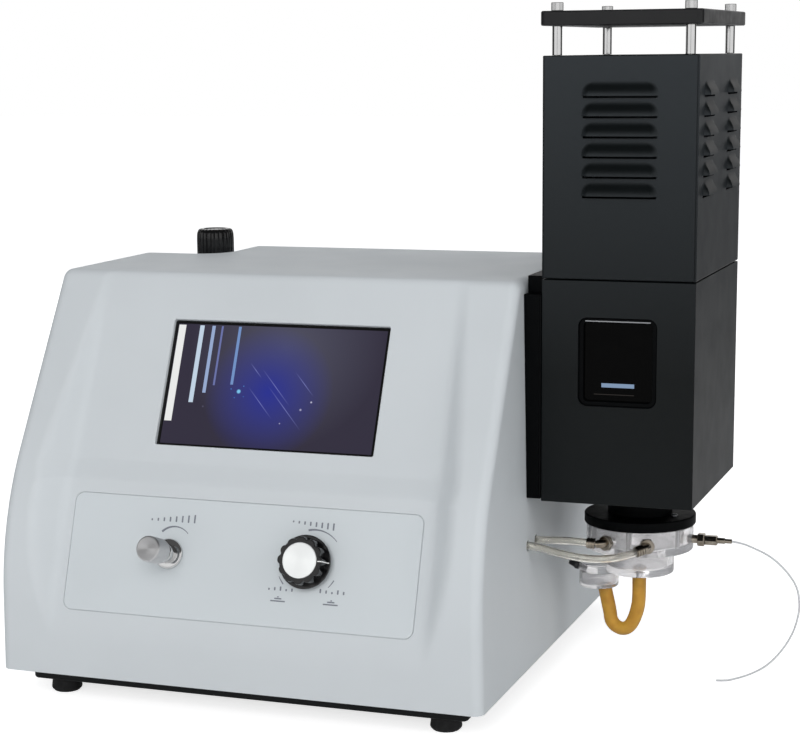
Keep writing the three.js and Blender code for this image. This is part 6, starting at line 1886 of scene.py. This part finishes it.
def make_trap():
    matrix = upright(trap.x, axis.y)
    vessel = make("clear_trap", turned([
        (0, trap.low), (trap.radius, trap.low, trap.edge), (trap.radius, trap.high, trap.edge),
        (0, trap.high),
    ], sides.wide), matrix)
    outlet = local((waste.x - trap.x, 0, waste.rise), BACK,
                   (-math.cos(waste.tilt), 0, math.sin(waste.tilt)))
    add(vessel, shifted(disc(cup.nipple, trap.low - trap.drop, trap.low + 2 * gap, nick.fine),
                        trap.nipple_at))
    cut(
        vessel,
        shifted(disc(cup.radius + play, cup.low - play, trap.high + overrun, 0, 0, sides.wide),
                axis.x - trap.x),
        disc(trap.radius - trap.wall, trap.low + trap.wall, cup.low - play - trap.wall, nick.wide,
             nick.wide),
        shifted(disc(cup.bore, trap.low - trap.drop - overrun, trap.low + 2 * trap.wall),
                trap.nipple_at),
        moved(disc(waste.shank + play, waste.room_end, trap.radius), outlet),
    )
    dress(vessel, clear_acrylic, "drain_trap")
    step = (waste.length - waste.start - waste.collar) / waste.ridges
    ridges = []
    for index in range(waste.ridges):
        share = index / waste.ridges
        tapered = waste.root_share + (1 - waste.root_share) * share
        radius = waste.root + (waste.tip - waste.root) * tapered
        start = waste.start + waste.collar + index * step
        ridges += [(radius, start), (radius - waste.ridge, start + step * waste.ridge_share)]
    profile = lathe([
        (waste.bore, waste.shank_end), (waste.shank, waste.shank_end), (waste.shank, waste.start),
        (waste.root - nick.fine, waste.start), (waste.root, waste.start + nick.fine),
        (waste.root, waste.start + waste.collar - nick.fine),
        (waste.root - nick.fine, waste.start + waste.collar), *ridges, (waste.tip, waste.length),
        (waste.bore, waste.length),
    ], sides.usual, closed=True)
    dress(make("waste_spigot", profile, matrix @ millimetres(outlet)), dark_steel, "waste_barb",
          slot="steel")


def millimetres(matrix):
    """A matrix whose place is in millimetres as one in metres."""
    made = matrix.copy()
    made.translation = matrix.translation * MM
    return made


def make_fitting(name, node_name, turn, hose_end):
    """A port with a hexagon, two rings and an elbow whose barb meets its hose."""
    frame_here = around_axis(turn, chamber.rise)
    start = chamber.radius + gap
    elbow = frame_here @ Vector((0, 0, chamber.radius + fitting.reach))
    way = (Vector(hose_end) - elbow).normalized()
    outwards = (frame_here.to_3x3() @ Vector((0, 0, 1))).normalized()
    bar = moved(disc(fitting.shank, chamber.radius - fitting.shank_length,
                     chamber.radius + fitting.reach - fitting.elbow), frame_here)
    piece = make(name, bar)
    hex_end = start + fitting.hex_length
    bend = [elbow - outwards * fitting.elbow + (outwards * math.sin(turn_at)
            + way * (1 - math.cos(turn_at))) * fitting.elbow
            for turn_at in (math.pi / 2 * step / fitting.steps
                            for step in range(fitting.steps + 1))]
    path = [elbow - outwards * (fitting.elbow + fitting.root), *bend,
            elbow + way * (fitting.elbow + gap)]
    barb = local(elbow, (-way.y, way.x, 0), way)
    sleeve = []
    for band in range(fitting.sleeve_bands):
        ring_low = fitting.elbow + fitting.sleeve_start + band * fitting.band
        ring_high = ring_low + fitting.band * fitting.band_share
        groove = fitting.sleeve - fitting.groove
        sleeve += [(fitting.sleeve, ring_low), (fitting.sleeve, ring_high), (groove, ring_high),
                   (groove, ring_low + fitting.band)]
    add(
        piece,
        moved(hexagon(fitting.hex, start, hex_end), frame_here),
        moved(disc(fitting.ring, hex_end - gap, hex_end + fitting.ring_length, nick.fine,
                   nick.small), frame_here),
        loft(swept_rings(path, lambda share: fitting.shank, sides.slim)),
        moved(disc(fitting.barb, fitting.barb_start, fitting.barb_length, 0, nick.small), barb),
    )
    inside = hose.radius + gap / 2
    collar = lathe([(inside, sleeve[0][1]), *sleeve, (inside, sleeve[-1][1])], sides.usual, True)
    add(piece, moved(collar, barb))
    dress(piece, nickel, node_name)


def make_nebuliser():
    frame_here = frame_at((0, axis.y, nebuliser.rise), BACK, ACROSS)
    body = make("nebuliser_tip", turned([
        (0, nebuliser.start), (nebuliser.collar, nebuliser.start, nick.small),
        (nebuliser.collar, nebuliser.hex_start + gap), (0, nebuliser.hex_start + gap),
    ]), frame_here)
    end, thin = nebuliser.tip_end, nebuliser.tip - nebuliser.neck
    add(
        body,
        hexagon(nebuliser.hex, nebuliser.hex_start, nebuliser.hex_end),
        turned([
            (0, nebuliser.hex_end - gap), (nebuliser.tip, nebuliser.hex_end - gap),
            (nebuliser.tip, end - nebuliser.neck_start, nick.fine),
            (thin, end - nebuliser.neck_full, nick.fine), (thin, end, nick.small), (0, end),
        ]),
    )
    cut(body, disc(nebuliser.bore, nebuliser.start - overrun, end + overrun, 0, 0,
                   sides.small))
    dress(body, nickel, "nebuliser_body")
    nut = make("nebuliser_collar", hexagon(nebuliser.nut, nebuliser.nut_start, nebuliser.nut_end),
               frame_here)
    cut(nut, drill(nebuliser.nut_bore, nebuliser.nut_start, nebuliser.nut_end))
    dress(nut, nickel, "nebuliser_nut")


make_flange()
make_chamber()
make_trap()

# Hoses inside their CAD routes: places in metres, as in the part's source

air_route = [
    (-0.2950, 0.2457, 0.2040),
    (-0.2950, 0.2367, 0.2040),
    (-0.2950, 0.2220, 0.2040),
    (-0.2940, 0.2040, 0.2020),
    (-0.2860, 0.1820, 0.1900),
    (-0.2700, 0.1640, 0.1650),
    (-0.2440, 0.1500, 0.1360),
    (-0.2050, 0.1380, 0.1120),
    (-0.1600, 0.1300, 0.0970),
    (-0.1100, 0.1270, 0.0890),
    (-0.0600, 0.1280, 0.0850),
    (-0.0200, 0.1296, 0.0840),
    air_wall,
    (0.0070, 0.1318, 0.0840),
    (0.0140, 0.1350, 0.0835),
    (0.0190, 0.1398, 0.0826),
    (0.0261, 0.1420, 0.0819),
    (0.0340, 0.1425, 0.0814),
]
gas_route = [
    (-0.2204, 0.0534, 0.0719),
    (-0.2204, 0.0619, 0.0689),
    (-0.2204, 0.0704, 0.0659),
    (-0.2120, 0.0860, 0.0636),
    (-0.1960, 0.0970, 0.0640),
    (-0.1600, 0.1050, 0.0690),
    (-0.1150, 0.1080, 0.0760),
    (-0.0680, 0.1084, 0.0820),
    (-0.0280, 0.1090, 0.0850),
    gas_wall,
    (0.0070, 0.1128, 0.0829),
    (0.0150, 0.1162, 0.0801),
    (0.0270, 0.1200, 0.0770),
    (0.0400, 0.1226, 0.0756),
    (0.0530, 0.1256, 0.0764),
    (0.0624, 0.1316, 0.0782),
    (0.0679, 0.1372, 0.07975),
]
line_route = [
    (-0.0740, 0.3494, 0.0351),
    (-0.0740, 0.3407, 0.0327),
    (-0.0730, 0.3220, 0.0300),
    (-0.0660, 0.2720, 0.0320),
    (-0.0620, 0.2200, 0.0400),
    (-0.0700, 0.1750, 0.0470),
    (-0.0920, 0.1350, 0.0530),
    (-0.1130, 0.1060, 0.0570),
    (-0.1220, 0.0802, 0.0639),
    (-0.1220, 0.0718, 0.0669),
    (-0.1220, 0.0633, 0.0699),
]


def make_hoses():
    for name, node_name, route in (
        ("air_tube", "air_hose", air_route), ("gas_tube", "gas_hose", gas_route),
        ("gas_feed_tube", "gas_line", line_route),
    ):
        points = in_millimetres(route)
        points[0] += (points[0] - points[1]).normalized() * hose.over
        points[-1] += (points[-1] - points[-2]).normalized() * hose.over
        tube = hollow_tube(smooth_route(points), lambda share: hose.radius, hose.bore)
        dress(make(name, tube), clear_hose, node_name)


def make_drain_tube():
    """The amber U-tube: soft, a little uneven and cut off square."""
    left = trap.x + trap.nipple_at
    right_high, left_high = cup.nipple_low + drain.over, trap.low - trap.drop + drain.over
    low = drain.path_low
    path = []
    for across, up in drain.shares:
        high = right_high if across > 0.5 else left_high
        path.append((left + (axis.x - left) * across, axis.y, low + (high - low) * up))
    points = smooth_route(path)

    def radius_at(share):
        uneven = sum(depth * math.sin(turns * share) for depth, turns in drain.wave_shares)
        return drain.radius * (drain.slim_share + uneven)

    tube = hollow_tube(points, radius_at, drain.bore, sides.slim)
    dress(make("latex_tube", tube), latex, "drain_tube")


make_fitting("air_port", "air_fitting", fitting.air_turn, Vector(air_route[-1]) / MM)
make_fitting("gas_port", "gas_fitting", fitting.gas_turn, Vector(gas_route[-1]) / MM)
make_nebuliser()
make_hoses()
make_drain_tube()

# CAD nodes whose shape is right keep it and take the better finish of their slot


def dress_frame():
    for subpart in frame["record"]["subparts"]:
        materials = nodes[subpart["node"]].data.materials
        materials.clear()
        materials.append(finishes[subpart["material_slot"]])


dress_frame()

# Studio


def seen_rays(tree):
    """The kinds of ray, and one for those that go from the camera, through clear pieces too."""
    rays = node(tree, "LightPath").outputs
    return rays, maths(tree, "MAXIMUM", rays["Is Camera Ray"], rays["Is Transmission Ray"])


def make_sheet(name, corners):
    """One flat face, its corners in metres."""
    mesh = bpy.data.meshes.new(name)
    mesh.from_pydata(corners, [], [(0, 1, 2, 3)])
    return link(name, mesh)


def make_floor():
    """A white floor that glows to the camera, faintly to gloss and not at all to the rest."""
    size, low = studio.reach, cad_bounds[0][2]
    floor = make_sheet("floor", [(x, y, low) for x, y in
                                 ((-size, -size), (size, -size), (size, size), (-size, size))])
    material, tree = new_material("studio_floor")
    rays, seen = seen_rays(tree)
    mirrored = maths(tree, "MULTIPLY", rays["Is Glossy Ray"], studio.mirrored)
    strength = ranged(tree, maths(tree, "MAXIMUM", seen, mirrored), 0, studio.floor, 0, 1)
    matt = node(tree, "BsdfDiffuse", Color=grey(studio.floor_tone))
    glow = node(tree, "Emission", Color=(1, 1, 1, 1), Strength=strength)
    both = node(tree, "AddShader")
    tree.links.new(matt.outputs[0], both.inputs[0])
    tree.links.new(glow.outputs[0], both.inputs[1])
    show(tree, both)
    floor.data.materials.append(material)


def make_lamp(name, point, target, size, power):
    """A lamp that lights the pieces but shows neither to the camera nor in gloss."""
    data = bpy.data.lights.new(name, "AREA")
    data.shape = "RECTANGLE"
    data.size, data.size_y = size
    data.energy = power
    lamp = link(name, data)
    start, aim = Vector(point), Vector(target)
    lamp.matrix_world = (
        Matrix.Translation(start) @ (start - aim).to_track_quat("Z", "Y").to_matrix().to_4x4()
    )
    lamp.visible_camera = False
    lamp.visible_glossy = False


def make_world():
    """White to the camera, white low and dark above to gloss, and dimmer as light."""
    world = bpy.data.worlds.new("studio")
    bpy.context.scene.world = world
    world.use_nodes = True
    tree = world.node_tree
    tree.nodes.clear()
    rays, seen = seen_rays(tree)
    ambient = node(tree, "Background", Color=linear(*studio.ambient_tone),
                   Strength=studio.ambient)
    backdrop = node(tree, "Background", Color=(1, 1, 1, 1), Strength=1.0)
    way = node(tree, "SeparateXYZ", Vector=node(tree, "TexCoord").outputs["Generated"])
    ceiling = ranged(tree, way.outputs["Z"], 1, studio.ceiling, *studio.ceiling_span)
    mirrored = node(tree, "Background", Color=(1, 1, 1, 1), Strength=ceiling)
    for share, shader in ((rays["Is Glossy Ray"], mirrored), (seen, backdrop)):
        mix = node(tree, "MixShader", Fac=share)
        tree.links.new(ambient.outputs[0], mix.inputs[1])
        tree.links.new(shader.outputs[0], mix.inputs[2])
        ambient = mix
    show(tree, ambient, "OutputWorld")


def make_card(name, start, end, tone):
    """A dark card that only gloss and metal see, as beside a real product table."""
    card = make_sheet(name, [(*start, 0), (*end, 0), (*end, studio.card_high),
                             (*start, studio.card_high)])
    material, tree = new_material(name)
    show(tree, node(tree, "Emission", Color=grey(tone), Strength=1.0))
    card.data.materials.append(material)
    card.visible_camera = False
    card.visible_diffuse = False
    card.visible_shadow = False
    card.visible_transmission = False


make_floor()
make_world()
for card in studio.cards:
    make_card(*card)
for lamp in studio.lamps:
    make_lamp(*lamp)

bpy.context.scene.view_settings.view_transform = "Standard"
